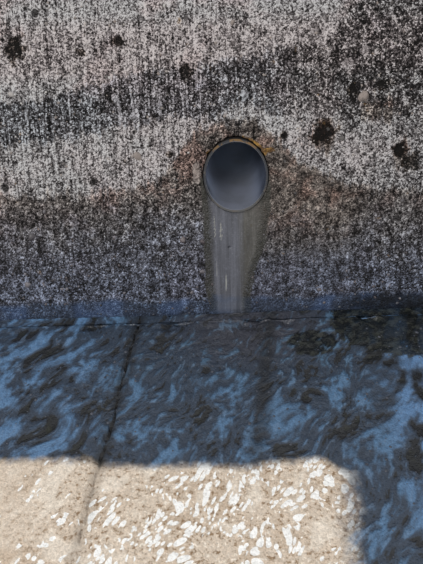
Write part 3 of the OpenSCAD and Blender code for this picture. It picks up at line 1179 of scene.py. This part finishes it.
def stones_tree(name):
    """Geometry nodes that set stones in a face: scattered over it, or one on each given point."""
    wires = Growth(name, {
        "Scatter": True, "Density": 1000.0, "Smallest": 0.001, "Largest": 0.003, "Sink": 0.35,
        "Facets": 1, "Seed": 0,
    })
    given = wires.given
    density = given["Density"] * wires.read("washed")
    spread = wires.add(
        "GeometryNodeDistributePointsOnFaces",
        {"Mesh": given["Geometry"], "Density": density, "Seed": given["Seed"]},
        distribute_method="RANDOM",
    )
    size = wires.blend(wires.math("POWER", wires.draw(1), 2.2), given["Smallest"], given["Largest"])
    strewn = wires.keep(spread["Points"], "out", spread["Normal"], "FLOAT_VECTOR")
    strewn = wires.keep(wires.keep(strewn, "size", size), "tone", wires.draw(2))
    single = wires.add("GeometryNodeMeshToPoints", {"Mesh": given["Geometry"]})
    which = wires.add(
        "GeometryNodeSwitch", {0: given["Scatter"], 1: single, 2: strewn}, input_type="GEOMETRY",
    )
    size = wires.read("size")
    sunk = wires.shift(which, wires.read("out", "FLOAT_VECTOR"), size * given["Sink"] * -1.0)
    stone = wires.add("GeometryNodeMeshIcoSphere", {"Radius": 1.0, "Subdivisions": given["Facets"]})
    turn = wires.draw(3, (0, 0, 0), (6.283, 6.283, 6.283), "FLOAT_VECTOR")
    squash = wires.draw(4, (0.7, 0.8, 0.75), (1.15, 1.3, 1.1), "FLOAT_VECTOR")
    scale = wires.vector("SCALE", squash, size)
    placed = wires.add(
        "GeometryNodeInstanceOnPoints",
        {"Points": sunk, "Instance": stone, "Rotation": turn, "Scale": scale},
    )
    real = wires.add("GeometryNodeRealizeInstances", {"Geometry": placed})
    lump = wires.wander(wires.add("GeometryNodeInputPosition"), 170.0, 2.0)
    return wires.finish(wires.shift(real, lump, size * 1.3))


def run_tree(piece, tree, **values):
    """Runs a node tree over a piece and leaves its result as a plain mesh."""
    keys = {item.name: item.identifier for item in tree.interface.items_tree if item.in_out == "INPUT"}
    worker = piece.modifiers.new(tree.name, "NODES")
    worker.node_group = tree
    for label, value in values.items():
        worker[keys[label.replace("_", " ").title()]] = value
    graph = bpy.context.evaluated_depsgraph_get()
    made = bpy.data.meshes.new_from_object(piece.evaluated_get(graph), depsgraph=graph)
    piece.modifiers.clear()
    spent = piece.data
    piece.data = made
    bpy.data.meshes.remove(spent)


def new_piece(name, points, faces, fields):
    """A mesh object with named point values."""
    mesh = bpy.data.meshes.new(name)
    mesh.from_pydata(points.tolist(), [], faces)
    work = bmesh.new()
    work.from_mesh(mesh)
    bmesh.ops.recalc_face_normals(work, faces=work.faces)
    work.to_mesh(mesh)
    work.free()
    for label, values in fields.items():
        values = np.asarray(values, np.float32)
        kind, key = ("FLOAT_VECTOR", "vector") if values.ndim == 2 else ("FLOAT", "value")
        mesh.attributes.new(label, kind, "POINT").data.foreach_set(key, values.ravel())
    piece = bpy.data.objects.new(name, mesh)
    bpy.context.scene.collection.objects.link(piece)
    return piece


def settle(piece, slot, *nodes):
    """Shades a finished piece, puts it under the root body and hides the CAD nodes it takes the place of. The
    slot is not used.
    """
    piece.data.shade_smooth()
    piece.data.set_sharp_from_angle(angle=math.radians(SHARP_ANGLE))
    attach(piece, "root")
    if nodes:
        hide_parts(*nodes)


WORN = ("swell", "grain", "pit_depth", "pit_spacing", "chip_depth")


def worn_piece(name, shape, relief, seed, finish, slot, node, **shares):
    """A casting weathered in its finish, in place of its CAD node. Shares scale the relief's sizes."""
    piece = new_piece(name, *shape)
    sizes = {size: getattr(relief, size) * shares.get(size, 1.0) for size in WORN}
    run_tree(piece, shared("Weathered casting", relief_tree), seed=float(seed), material=finish, **sizes)
    settle(piece, slot, node)


# Wall bays

FRONT_FACE = 1
BACK_FACE = 5


def wall_section(cell):
    """The wall's outline, with the number of mesh steps along and across each face."""
    fall = COPING_BEVEL / (1 + BATTER)
    front = TOE + BATTER * (WALL_TOP - BED)
    corners = [
        (TOE, 0.0),
        (TOE, BED),
        (front - BATTER * fall, WALL_TOP - fall),
        (front + COPING_BEVEL, WALL_TOP),
        (WALL_BACK - COPING_BEVEL, WALL_TOP),
        (WALL_BACK, WALL_TOP - COPING_BEVEL),
        (WALL_BACK, 0.0),
    ]
    fine, medium, coarse = (round(2 * BAY_HALF / size) for size in (cell, 0.0055, 0.011))
    slope = (WALL_TOP - fall - BED) * SLOPE
    along = [coarse // 3, fine, fine, medium, coarse, coarse, coarse // 3]
    across = [6, round(slope / cell), 10, 34, 4, 50, 8]
    return Section(corners, along, across, [(0, 1, 2), (3,), (4, 5), (6,)])


class Mouth:
    """Cuts the cored hole through a bay: a ring of cells in the face, the bore, a ring at the back."""

    # Rings of cells between block and hole, half the block's width, and where the bore has its rings
    RINGS = 12
    HALF_BLOCK = 0.074
    DEPTHS = (0, 0.01, 0.03, 0.08, 0.2, 0.4, 0.7, 1)

    def block(self, made, sides, across, up, rise):
        """A face with a block left open round the drain, which lies rise above its first line."""
        spans = []
        high = np.linalg.norm(sides[1][-1] - sides[1][0])
        for middle, cell in ((rise, high / up), (BAY_HALF, 2 * BAY_HALF / across)):
            place, reach = middle / cell - 1, self.HALF_BLOCK / cell
            spans.append((round(place - reach), round(place + reach)))
        rows, columns = spans
        ids = made.patch(sides, across, up, gap=(*rows, *columns))
        return block_loop(ids, rows, columns)

    def front(self, made, sides, across, up):
        """The battered face, with a ring of cells from the block to the cored hole."""
        loop = self.block(made, sides, across, up, (DRAIN_Z - BED) * SLOPE)
        block = np.concatenate(made.points)[loop]
        way = block - MOUTH
        self.rim = MOUTH + way * (CORE_RADIUS / np.hypot(way[:, 0], way[:, 2]))[:, None]
        shares = np.linspace(0, 1, self.RINGS + 1)[:, None, None]
        made.ring(block[None] * (1 - shares) + self.rim[None] * shares)

    def back(self, made, sides, across, up):
        """The back face, with the cored hole's wall carried through to it."""
        loop = self.block(made, sides, across, up, sides[1][0][2] - DRAIN_Z)
        points = np.concatenate(made.points)[loop]
        rim = self.rim.copy()
        rim[:, 1] = WALL_BACK
        shares = np.array(self.DEPTHS)[:, None, None]
        rim_ids = made.ring(self.rim[None] * (1 - shares) + rim[None] * shares)[-1]
        way = turn_of(points)
        if turn_of(rim) * way < 0:
            rim_ids, rim = rim_ids[::-1], rim[::-1]
        made.stitch(*by_turn(loop, points, way), *by_turn(rim_ids, rim, way))


def angle_round(points):
    """Angle of each point round the drain's axis."""
    return np.arctan2(points[:, 2] - DRAIN_Z, points[:, 0])


def turn_of(points):
    """Which way a loop runs round the drain's axis, as 1 or -1."""
    angles = np.unwrap(angle_round(points))
    return np.sign(angles[-1] - angles[0])


def by_turn(ids, points, way):
    """A loop started at angle zero, with each point's place round it from 0 to 4."""
    place = (way * angle_round(points)) % (2 * math.pi)
    order = np.roll(np.arange(len(ids)), -int(np.argmin(place)))
    return np.asarray(ids)[order], place[order] / (math.pi / 2)


def rounded(points, section, middle, radius, free=True):
    """Points with the free ones moved on to arrises of that radius, and each point's way out."""
    core = inward(points, section, middle, BAY_HALF, radius)
    out = points - core
    reach = np.linalg.norm(out, axis=1)
    skin = (reach > 0.2 * radius) & (points[:, 2] > TINY)
    out = np.where(skin[:, None], out / np.maximum(reach, 1e-9)[:, None], 0)
    return np.where((skin & free)[:, None], core + out * radius, points), out


def dress_wall(points, section, middle, relief):
    """Rounds a bay's arrises and works out the values that lead its wear and colour."""
    bore = np.hypot(points[:, 0], points[:, 2] - DRAIN_Z) < CORE_RADIUS + 1e-5
    bore &= (points[:, 1] > MOUTH[1] - 0.04) & (abs(middle) < TINY)
    edge = face_gap(points, section, middle, BAY_HALF, skip=(0, 6))
    shaped, out = rounded(points, section, middle, relief.arris, ~bore)
    front = (np.abs((points - MOUTH) @ FACE_OUT) < 1e-5) & (points[:, 2] >= BED - TINY)
    out[bore & ~front] = 0
    out[front & bore] = FACE_OUT
    front = front.astype(float)
    end = np.abs(np.abs(points[:, 0] - middle) - BAY_HALF) < TINY
    hidden = (points[:, 2] < BED - 0.002) & (points[:, 1] < TOE + 0.001)
    masks = wall_masks(points, front)
    return shaped, {
        "out": out,
        "edge": edge,
        "wear": np.where(hidden, 0, np.where(front > 0, 1.0, 0.75)),
        "rough": 1 - 0.85 * masks["runnel"],
        "carve": wall_carve(points, front),
        "pitted": 1 - np.maximum(masks["runnel"], masks["algae"]),
        "across": np.where(end & (front == 0), points[:, 1], points[:, 0]),
        "washed": front * ease(edge, 0.006, 0.02) * (1 - masks["runnel"]),
        **masks,
    }


class HEADWALL_OT_wall_bays(bpy.types.Operator):
    """Casts the three bays of the battered wall and weathers them"""

    bl_idname = "headwall.wall_bays"
    bl_label = "Wall bays"

    def execute(self, context):
        relief, colours = context.scene.headwall_relief, context.scene.headwall_colours
        finish = material("weathered_concrete", concrete_finish, colours, DRY_LEVEL)
        for name, middle in BAYS.items():
            outlet = name == "outlet"
            section = wall_section(relief.cell if outlet else 1.7 * relief.cell)
            mouth = Mouth()
            holes = {FRONT_FACE: mouth.front, BACK_FACE: mouth.back} if outlet else {}
            points, faces = cast(section, middle, BAY_HALF, holes).closed()
            points, fields = dress_wall(points, section, middle, relief)
            worn_piece(
                f"weathered_bay_{name}", (points, faces, fields), relief, relief.seed, finish,
                "wall_concrete", f"wall_bay_{name}",
            )
        return {"FINISHED"}


# Mortar and pipe


def crown_gap_at(angles):
    """Width of the open crescent between pipe and mortar, widest over the crown."""
    lift = 0.6 * CROWN_GAP
    radius = PIPE_RADIUS + CROWN_GAP - lift
    reach = lift * np.sin(angles) + np.sqrt(np.maximum(radius ** 2 - (lift * np.cos(angles)) ** 2, 0))
    return np.maximum(reach - PIPE_RADIUS, 0)


def packing_fields(points, out, front):
    """The values that lead the mortar's wear and colour, with one crack of its own."""
    masks = wall_masks(points, front)
    masks["brown"] = np.maximum(masks["brown"], 0.5)
    crack = np.abs(points[:, 0] - 0.0220 - 0.001 * noise_field(points, 0.004)) < 0.0009
    crack &= (points[:, 2] > 0.300) & (points[:, 2] < 0.3135)
    return {
        "out": out,
        "edge": np.ones(len(points)),
        "wear": np.where(front > 0, 1.0, 0.3),
        "rough": 1 - 0.85 * masks["runnel"],
        "carve": wall_carve(points, front) + 0.0028 * crack * front,
        "pitted": np.maximum(1 - np.maximum(masks["runnel"], masks["algae"]), crack),
        "across": points[:, 0],
        **masks,
    }


def ring_points(angles, radius, y=0.0):
    """Points round the drain's axis."""
    radius = np.broadcast_to(radius, angles.shape)
    return np.stack([radius * np.cos(angles), np.full(len(angles), y), DRAIN_Z + radius * np.sin(angles)], 1)


def on_face(points, depth=0.0):
    """The same points moved along the drain on to the battered face, or to a depth behind it."""
    moved = points.copy()
    moved[:, 1] = MOUTH[1] + BATTER * (points[:, 2] - DRAIN_Z) + depth
    return moved


def closed_ring(rows):
    """The closed surface through rows of points round the drain."""
    made = Casting()
    made.ring(rows + [rows[0]])
    return made.closed()


def mouth_packing(relief):
    """The ring of mortar in the mouth, flush with the face, open in a crescent over the crown."""
    block = round(2 * Mouth.HALF_BLOCK / relief.cell)
    angles = np.linspace(0, 2 * math.pi, 4 * block, endpoint=False)
    round_pipe = ring_points(angles, PIPE_RADIUS)
    lip = noise_field(round_pipe, 0.011, 1.7) + 0.6 * noise_field(round_pipe, 0.004, 5.1)
    gap = crown_gap_at(angles) * (0.95 + 0.7 * lip) + 0.0005 + 0.0007 * lip
    inner = PIPE_RADIUS + np.maximum(gap, PIPE_PLAY)
    shares = np.linspace(0, 1, 15)
    rows = [on_face(ring_points(angles, CORE_RADIUS + (inner - CORE_RADIUS) * share)) for share in shares]
    rows += [rows[-1] + (0, depth, 0) for depth in (0.0015, 0.004, 0.008, CROWN_GAP_DEPTH)]
    rows.append(on_face(ring_points(angles, PIPE_RADIUS + PIPE_PLAY), CROWN_GAP_DEPTH + 0.001))
    width = CORE_RADIUS - PIPE_RADIUS
    for reach in (PIPE_PLAY, 0.5 * width, width):
        rows.append(ring_points(angles, PIPE_RADIUS + reach, MOUTH[1] + MOUTH_PACKING))
    points, faces = closed_ring(rows)
    front = (np.abs((points - MOUTH) @ FACE_OUT) < 1e-5).astype(float)
    return points, faces, packing_fields(points, FACE_OUT[None] * front[:, None], front)


def back_packing(relief):
    """The ring of mortar at the back of the wall, sunk a little towards the pipe."""
    angles = np.linspace(0, 2 * math.pi, 120, endpoint=False)

    def row(share, y):
        """A ring of points a share of the way from the pipe out to the core."""
        return ring_points(angles, PIPE_RADIUS + PIPE_PLAY + (CORE_RADIUS - PIPE_RADIUS) * share, y)

    shares = np.linspace(0, 1, 9)
    sunk = 0.0035 * np.sqrt(np.sin(math.pi * shares).clip(0)) * (1 - shares)
    rows = [row(share, WALL_BACK - depth) for share, depth in zip(shares, sunk)]
    rows += [row(share, MORTAR_LOW.y) for share in (0.98, 0.02)]
    points, faces = closed_ring(rows)
    out = np.tile((0.0, 1.0, 0.0), (len(points), 1)) * (points[:, 1] > WALL_BACK - 0.01)[:, None]
    return points, faces, packing_fields(points, out, np.zeros(len(points)))


class HEADWALL_OT_drain(bpy.types.Operator):
    """Packs mortar round the pipe at the mouth and the back, and ages the pipe"""

    bl_idname = "headwall.drain"
    bl_label = "Drain"

    def execute(self, context):
        relief, colours = context.scene.headwall_relief, context.scene.headwall_colours
        finish = material("packing_mortar", concrete_finish, colours, MORTAR_LEVEL)
        for name, pack in (("mouth", mouth_packing), ("back", back_packing)):
            worn_piece(
                f"{name}_packing", pack(relief), relief, relief.seed, finish, "mortar", f"mortar_{name}",
            )
        pipe = frame["nodes"]["drain_pipe"]
        pipe.data.materials.clear()
        pipe.data.materials.append(material("aged_pipe", pipe_finish))
        return {"FINISHED"}


# Apron


def apron_section(cell):
    """The slab's outline, with the number of mesh steps along and across each face."""
    corners = [
        (SLAB_LOW.y, 0.0),
        (SLAB_LOW.y, BED - NOSING_BEVEL),
        (SLAB_LOW.y + NOSING_BEVEL, BED),
        (SLAB_HIGH.y - TOE_BEVEL, BED),
        (SLAB_HIGH.y, BED - TOE_BEVEL),
        (SLAB_HIGH.y, 0.0),
    ]
    fine, medium, coarse = (round(2 * BAY_HALF / size) for size in (cell, 0.006, 0.03))
    along = [coarse, medium, fine, fine, medium, coarse]
    across = [16, 6, round((SLAB_HIGH.y - SLAB_LOW.y) / cell), 3, 10, 16]
    return Section(corners, along, across, [(0, 1), (2,), (3, 4), (5,)])


# Where the tan silt starts on the apron, which is the edge of the painted sunlight along the wall's cast
# shadow: place along the wall, distance from the toe
SUN_EDGE = [
    (-0.99, 0.27), (-0.6, 0.24), (-0.246, 0.207), (-0.160, 0.210), (-0.136, 0.218), (-0.001, 0.225),
    (0.048, 0.219), (0.070, 0.219), (0.092, 0.238), (0.99, 0.27),
]
# Left side of the painted shadow that runs out through the sunlit silt as a bare tongue: distance from the
# toe, place along the wall
SHADOW_TONGUE = [(0.0, 0.092), (0.218, 0.088), (0.264, 0.085), (0.325, 0.083), (0.40, 0.100), (0.60, 0.2)]
# Where the sunlit silt starts again beyond that painted shadow: place along the wall, distance from the toe
FAR_SUN_EDGE = [
    (0.08, 0.39), (0.12, 0.40), (0.20, 0.43), (0.32, 0.415), (0.44, 0.35), (0.60, 0.285), (0.99, 0.25),
]
# Dark growth on the bed: place along the wall, distance behind the toe, half width, half depth
GROWTHS = [
    (0.185, -0.015, 0.095, 0.052), (0.235, -0.050, 0.060, 0.042), (0.200, -0.052, 0.075, 0.040),
    (0.150, -0.036, 0.048, 0.042), (0.082, -0.057, 0.036, 0.025),
]
# The calm, dished place under the mouth, and the cluster of painted sun glints on the silt, in the same order
LANDING = [(0.015, -0.02, 0.125, 0.095)]
GLINT_CLUSTER = [(-0.02, -0.255, 0.25, 0.16)]


def sunlit_silt_share(points):
    """How much silt in painted sunlight lies on the apron, one half along its edge, which is a painted shadow
    edge.
    """
    x, out = points[:, 0], TOE - points[:, 1]
    slow = noise_field(points, 0.05, 5.3)
    near = across_line(out - curve_at(x, SUN_EDGE) + 0.003 * slow, 0.030)
    left = across_line(curve_at(out, SHADOW_TONGUE) - x + 0.004 * slow, 0.060)
    far = across_line(out - curve_at(x, FAR_SUN_EDGE) + 0.006 * slow, 0.060)
    return np.maximum(np.minimum(near, left), far)


def crack_gap(points):
    """Distance from each point to the crack that runs out from the toe."""
    place = -0.120 - 0.12 * (TOE - points[:, 1])
    torn = 0.0015 * noise_field(points, 0.012, 2.0) + 0.003 * noise_field(points, 0.06, 4.0)
    return np.abs(points[:, 0] - place - torn)


def dark_line_share(points):
    """A soft dark line over the bed, running out from beside the runnel."""
    out = TOE - points[:, 1]
    gap = np.abs(points[:, 0] - 0.039 + 0.153 * out) + 0.003 * noise_field(points, 0.014, 3.0)
    return (1 - ease(gap, 0.002, 0.014)) * ease(out, 0.24, 0.19)


def bed_masks(points, top, gap):
    """Masks that lead the colours of the bed. top is 1 on its upper face, gap the way to the crack."""
    x, from_toe = points[:, 0], points[:, 1] - TOE
    growth = spots(x, from_toe, GROWTHS)
    still = spots(x, from_toe, LANDING)
    bleached = spots(x, from_toe, GLINT_CLUSTER)
    beside = ridge(x, 0.26, 0.38)
    foot = ease(from_toe, -0.030, -0.020) * (points[:, 2] > BED - 0.02)
    # How strong the painted sky reflection is on the wet bed
    lively = [0.6 * ease(-x, 0.10, 0.19), ease(x, 0.10, 0.19), 0.35 * ease(-from_toe, 0.08, 0.13)]
    return {
        "crack": np.where(top > 0, np.clip(gap / 0.013, 0, 1), 1),
        "seep": dark_line_share(points) * top,
        "raw": (1 - top) * (1 - foot),
        "lively": np.max(lively, 0) * beside,
        # Painted sunlight on the silt beyond the edge of the shadow
        "silt": sunlit_silt_share(points),
        "moss": np.clip(3.0 * growth, 0, 1) * top,
        "calm": np.maximum(ease(still, 0, 0.7), 0.75 * (1 - beside)),
        # Where the painted sun glints cluster
        "bleached": 0.3 + 0.7 * ease(bleached, 0, 0.5),
    }


def dress_apron(points, section, middle, relief):
    """Rounds a slab's arrises and works out the values that lead its wear and colour."""
    edge = face_gap(points, section, middle, BAY_HALF, skip=(5,))
    shaped, out = rounded(points, section, middle, 0.6 * relief.arris)
    top = (np.abs(points[:, 2] - BED) < TINY).astype(float)
    gap = crack_gap(points)
    masks = bed_masks(points, top, gap)
    landing = np.hypot(points[:, 0] / 0.07, (points[:, 1] - TOE + 0.05) / 0.09)
    return shaped, {
        "out": out,
        "edge": edge,
        "wear": np.where(top > 0, 1.0, 0.6),
        "rough": 1 - 0.5 * masks["silt"],
        "carve": 0.0025 * top * ((1 - ease(landing, 0, 1)) + (1 - ease(gap, 0.0, 0.0035))),
        "pitted": np.zeros(len(points)),
        "washed": top * ease(masks["silt"], 0.3, 0.0) * ease(edge, 0.006, 0.02),
        **masks,
    }


class HEADWALL_OT_apron(bpy.types.Operator):
    """Casts the three apron slabs, wet by the wall in painted shadow and silted further out in painted
    sunlight
    """

    bl_idname = "headwall.apron"
    bl_label = "Apron slabs"

    def execute(self, context):
        relief, colours = context.scene.headwall_relief, context.scene.headwall_colours
        finish = material("wet_apron", apron_finish, colours)
        for name, middle in BAYS.items():
            section = apron_section((1.45 if name == "outlet" else 2.2) * relief.cell)
            points, faces = cast(section, middle, BAY_HALF).closed()
            points, fields = dress_apron(points, section, middle, relief)
            worn_piece(
                f"worn_slab_{name}", (points, faces, fields), relief, relief.seed + 3, finish,
                "apron_concrete", f"apron_slab_{name}", swell=1.1, grain=1.1,
            )
        return {"FINISHED"}


# Stones and joints

# Stones of each kind: smallest and largest radius, and how finely they are faceted
STONES = {"grit": (0.0009, 0.0024, 1), "pebbles": (0.0020, 0.0056, 2)}
# How deep the scattered stones and the lone ones sit, as a share of their radius
STONE_SINK = 0.45
LONE_SINK = 0.60
# Stones seen one by one: place along the wall, height, radius, tone
LONE_STONES = [
    (0.146, 0.339, 0.0072, 0.74), (-0.253, 0.155, 0.0040, 0.92), (-0.211, 0.149, 0.0026, 1.0),
    (-0.206, 0.149, 0.0022, 1.0), (-0.043, 0.163, 0.0040, 0.9), (-0.056, 0.141, 0.0030, 0.9),
    (0.098, 0.140, 0.0042, 0.9), (-0.064, 0.199, 0.0046, 0.76),
]


def lone_stones():
    """One point for each stone that is listed one by one, on the face."""
    x, z, size, tone = np.array(LONE_STONES).T
    points = on_face(np.stack([x, np.zeros(len(x)), z], 1)) - FACE_OUT * 0.0008
    return points, [], {"out": np.tile(FACE_OUT, (len(x), 1)), "size": size, "tone": tone}


class HEADWALL_OT_stones(bpy.types.Operator):
    """Sets grit and pebbles in the washed faces"""

    bl_idname = "headwall.stones"
    bl_label = "Grit and pebbles"

    def execute(self, context):
        relief = context.scene.headwall_relief
        finish = material("aggregate", stone_finish)
        tree = shared("Stones in a face", stones_tree)
        carriers = []
        for part, place, slot, thick, thin in (
            ("weathered_bay", "", "wall_concrete", 1.0, 0.35),
            ("worn_slab", "apron_", "apron_concrete", 0.3, 0.15),
        ):
            carriers += [
                (f"{part}_{name}", f"{place}{name}", slot, thick if name == "outlet" else thin)
                for name in BAYS
            ]
        densities = {"grit": relief.grit_density, "pebbles": relief.pebble_density}
        for step, (carrier, name, slot, share) in enumerate(carriers):
            for kind, (low, high, facets) in STONES.items():
                piece = bpy.data.objects.new(f"{kind}_{name}", bpy.data.objects[carrier].data.copy())
                context.scene.collection.objects.link(piece)
                run_tree(
                    piece, tree, scatter=True, density=densities[kind] * share, smallest=low, largest=high,
                    sink=STONE_SINK, facets=facets, seed=relief.seed + step, material=finish,
                )
                settle(piece, slot)
        piece = new_piece("stones_by_the_mouth", *lone_stones())
        run_tree(piece, tree, scatter=False, sink=LONE_SINK, facets=3, seed=relief.seed, material=finish)
        settle(piece, "wall_concrete")
        return {"FINISHED"}


# Grid of the joint strips
STRIP_CELL = 0.004


def strip_section(name, cell):
    """A joint strip's outline across the wall, with its mesh steps."""
    low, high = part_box(name)
    if name.startswith("wall"):
        inset = low.y - TOE
        knee = BED - inset * (SLOPE - 1) / BATTER
        shoulder = TOE + BATTER * (WALL_TOP - BED) + inset * SLOPE - BATTER * inset
        corners = [(low.y, 0.0), (low.y, knee), (shoulder, high.z), (high.y, high.z), (high.y, 0.0)]
        ends = [(0, 1), (2,), (3,), (4,)]
    else:
        corners = [(low.y, low.z), (low.y, high.z), (high.y, high.z), (high.y, low.z)]
        ends = [(0,), (1,), (2,), (3,)]
    sides = [math.dist(start, end) for start, end in zip(corners, corners[1:] + corners[:1])]
    steps = [max(3, round(side / cell)) for side in sides]
    along = [max(4, round((high.x - low.x) / cell))] * len(corners)
    return Section(corners, along, steps, ends)


def joint_strip(name):
    """A joint strip's points, faces and values. It is worn on the faces that stand open."""
    low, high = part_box(name)
    section = strip_section(name, STRIP_CELL)
    points, faces = cast(section, (low.x + high.x) / 2, (high.x - low.x) / 2).closed()
    planes = section.planes()
    shown = planes[planes[:, 1] > (0.9 if name.startswith("toe") else -0.9)]
    gaps = np.stack([offset - points[:, 1:] @ (across, up) for across, up, offset in shown])
    proud = (np.min(gaps, 0) < 1e-5) & (points[:, 2] > 0.004)
    out = np.zeros((len(points), 3))
    out[:, 1:] = shown[np.argmin(gaps, 0), :2] * proud[:, None]
    zero, one = np.zeros(len(points)), np.ones(len(points))
    fields = {"out": out, "edge": one, "wear": one, "rough": one, "carve": zero, "pitted": zero}
    return points, faces, {**fields, **bed_masks(points, one, crack_gap(points))}


class HEADWALL_OT_joints(bpy.types.Operator):
    """Lays the bituminous joint strips, sagged and cracked by the weather"""

    bl_idname = "headwall.joints"
    bl_label = "Joint strips"

    def execute(self, context):
        relief, colours = context.scene.headwall_relief, context.scene.headwall_colours
        bitumen = material("joint_bitumen", filler_finish)
        silted = material("wet_apron", apron_finish, colours)
        for name in frame["nodes"]:
            if "_joint_" in name:
                finish = silted if name.startswith("toe") else bitumen
                worn_piece(
                    f"worn_{name}", joint_strip(name), relief, relief.seed + 9, finish,
                    "joint_filler", name,
                    swell=2.2, grain=1.4, pit_depth=0.8, pit_spacing=0.5, chip_depth=0.0,
                )
        return {"FINISHED"}


# Stage

KEY_LAMP_SIZE = 1.6
KEY_LAMP_PLACE = (-1.3, -1.5, 2.6)
FLOOR_HALF = 6.0
FLOOR_TOP = -0.0005
FLOOR_ROUGHNESS = 0.9


def place_camera(stage):
    """The camera, at the photograph's viewing angle."""
    down, lean = stage.pitch, stage.roll
    ahead = Vector((0, math.cos(down), -math.sin(down)))
    right = Vector((1, 0, 0))
    up = right.cross(ahead)
    leaned_right = right * math.cos(lean) - up * math.sin(lean)
    leaned_up = right * math.sin(lean) + up * math.cos(lean)
    turn = Matrix((leaned_right, leaned_up, -ahead)).transposed().to_4x4()
    place = Matrix.Translation((stage.side, TOE - stage.reach, BED + stage.rise))
    lens = bpy.data.cameras.new("camera")
    lens.sensor_fit = "VERTICAL"
    lens.sensor_height = 36
    lens.lens = stage.focal / stage.image_height * lens.sensor_height
    camera = bpy.data.objects.new("camera", lens)
    camera.matrix_world = place @ turn
    bpy.context.scene.collection.objects.link(camera)
    bpy.context.scene.camera = camera


def place_lamp(name, power, size, start, aim):
    """A square lamp that points at its aim."""
    lamp = bpy.data.lights.new(name, "AREA")
    lamp.energy = power
    lamp.shape = "SQUARE"
    lamp.size = size
    made = bpy.data.objects.new(name, lamp)
    made.location = start
    made.rotation_euler = (Vector(aim) - Vector(start)).to_track_quat("-Z", "Y").to_euler()
    bpy.context.scene.collection.objects.link(made)


def place_floor(color):
    """A plain floor just under the part."""
    corners = np.array([(-1, -1, 0), (1, -1, 0), (1, 1, 0), (-1, 1, 0)]) * FLOOR_HALF + (0, 0, FLOOR_TOP)
    floor = new_piece("floor", corners, [[0, 1, 2, 3]], {})
    floor.data.materials.append(material("floor", plain_finish, color, FLOOR_ROUGHNESS))


def build_world(stage):
    """Even light from all sides, seen as white."""
    world = bpy.data.worlds.new("studio")
    world.use_nodes = True
    bpy.context.scene.world = world
    wires = Wiring(world.node_tree)
    light = world.node_tree.nodes["Background"]
    light.inputs["Color"].default_value = (0.97, 0.985, 1.0, 1)
    light.inputs["Strength"].default_value = stage.daylight
    seen = wires.add("ShaderNodeBackground", {"Color": (1, 1, 1), "Strength": 1.0})
    path = wires.add("ShaderNodeLightPath")
    shown = wires.most(path["Is Camera Ray"], path["Is Glossy Ray"])
    shown = wires.most(shown, path["Is Transmission Ray"])
    both = wires.add("ShaderNodeMixShader", {0: shown, 1: Value(wires, light.outputs[0]), 2: seen})
    wires.feed(world.node_tree.nodes["World Output"].inputs["Surface"], both)


class HEADWALL_OT_stage(bpy.types.Operator):
    """Sets the floor, lamps, background and camera"""

    bl_idname = "headwall.stage"
    bl_label = "Stage"

    def execute(self, context):
        stage = context.scene.headwall_stage
        place_camera(stage)
        build_world(stage)
        aim = (0, TOE, BED + 0.15)
        place_lamp("key_lamp", stage.key_power, KEY_LAMP_SIZE, KEY_LAMP_PLACE, aim)
        place_floor(stage.floor)
        context.scene.view_settings.view_transform = "Standard"
        return {"FINISHED"}


class HEADWALL_PT_panel(bpy.types.Panel):
    """Lists the headwall's steps and settings"""

    bl_idname = "HEADWALL_PT_panel"
    bl_label = "Headwall"
    bl_space_type = "VIEW_3D"
    bl_region_type = "UI"
    bl_category = "Headwall"

    def draw(self, context):
        for step in STEPS:
            self.layout.operator(step.bl_idname)
        for settings in SETTINGS:
            group = getattr(context.scene, settings)
            box = self.layout.box()
            for name in group.bl_rna.properties.keys():
                if name not in {"rna_type", "name"}:
                    box.prop(group, name)


STEPS = (
    HEADWALL_OT_wall_bays,
    HEADWALL_OT_drain,
    HEADWALL_OT_apron,
    HEADWALL_OT_stones,
    HEADWALL_OT_joints,
    HEADWALL_OT_stage,
)
SETTINGS = {
    "headwall_relief": HeadwallRelief,
    "headwall_colours": HeadwallColours,
    "headwall_stage": HeadwallStage,
}


def register():
    """Makes the settings, steps and panel known to Blender."""
    for made in (*SETTINGS.values(), *STEPS, HEADWALL_PT_panel):
        bpy.utils.register_class(made)
    for name, group in SETTINGS.items():
        setattr(bpy.types.Scene, name, PointerProperty(type=group))


def unregister():
    """Takes them away again."""
    for name in SETTINGS:
        delattr(bpy.types.Scene, name)
    for made in (HEADWALL_PT_panel, *reversed(STEPS), *SETTINGS.values()):
        bpy.utils.unregister_class(made)


def main():
    """Runs every step in order."""
    register()
    for step in STEPS:
        group, action = step.bl_idname.split(".")
        getattr(getattr(bpy.ops, group), action)()


if __name__ == "__main__":
    main()
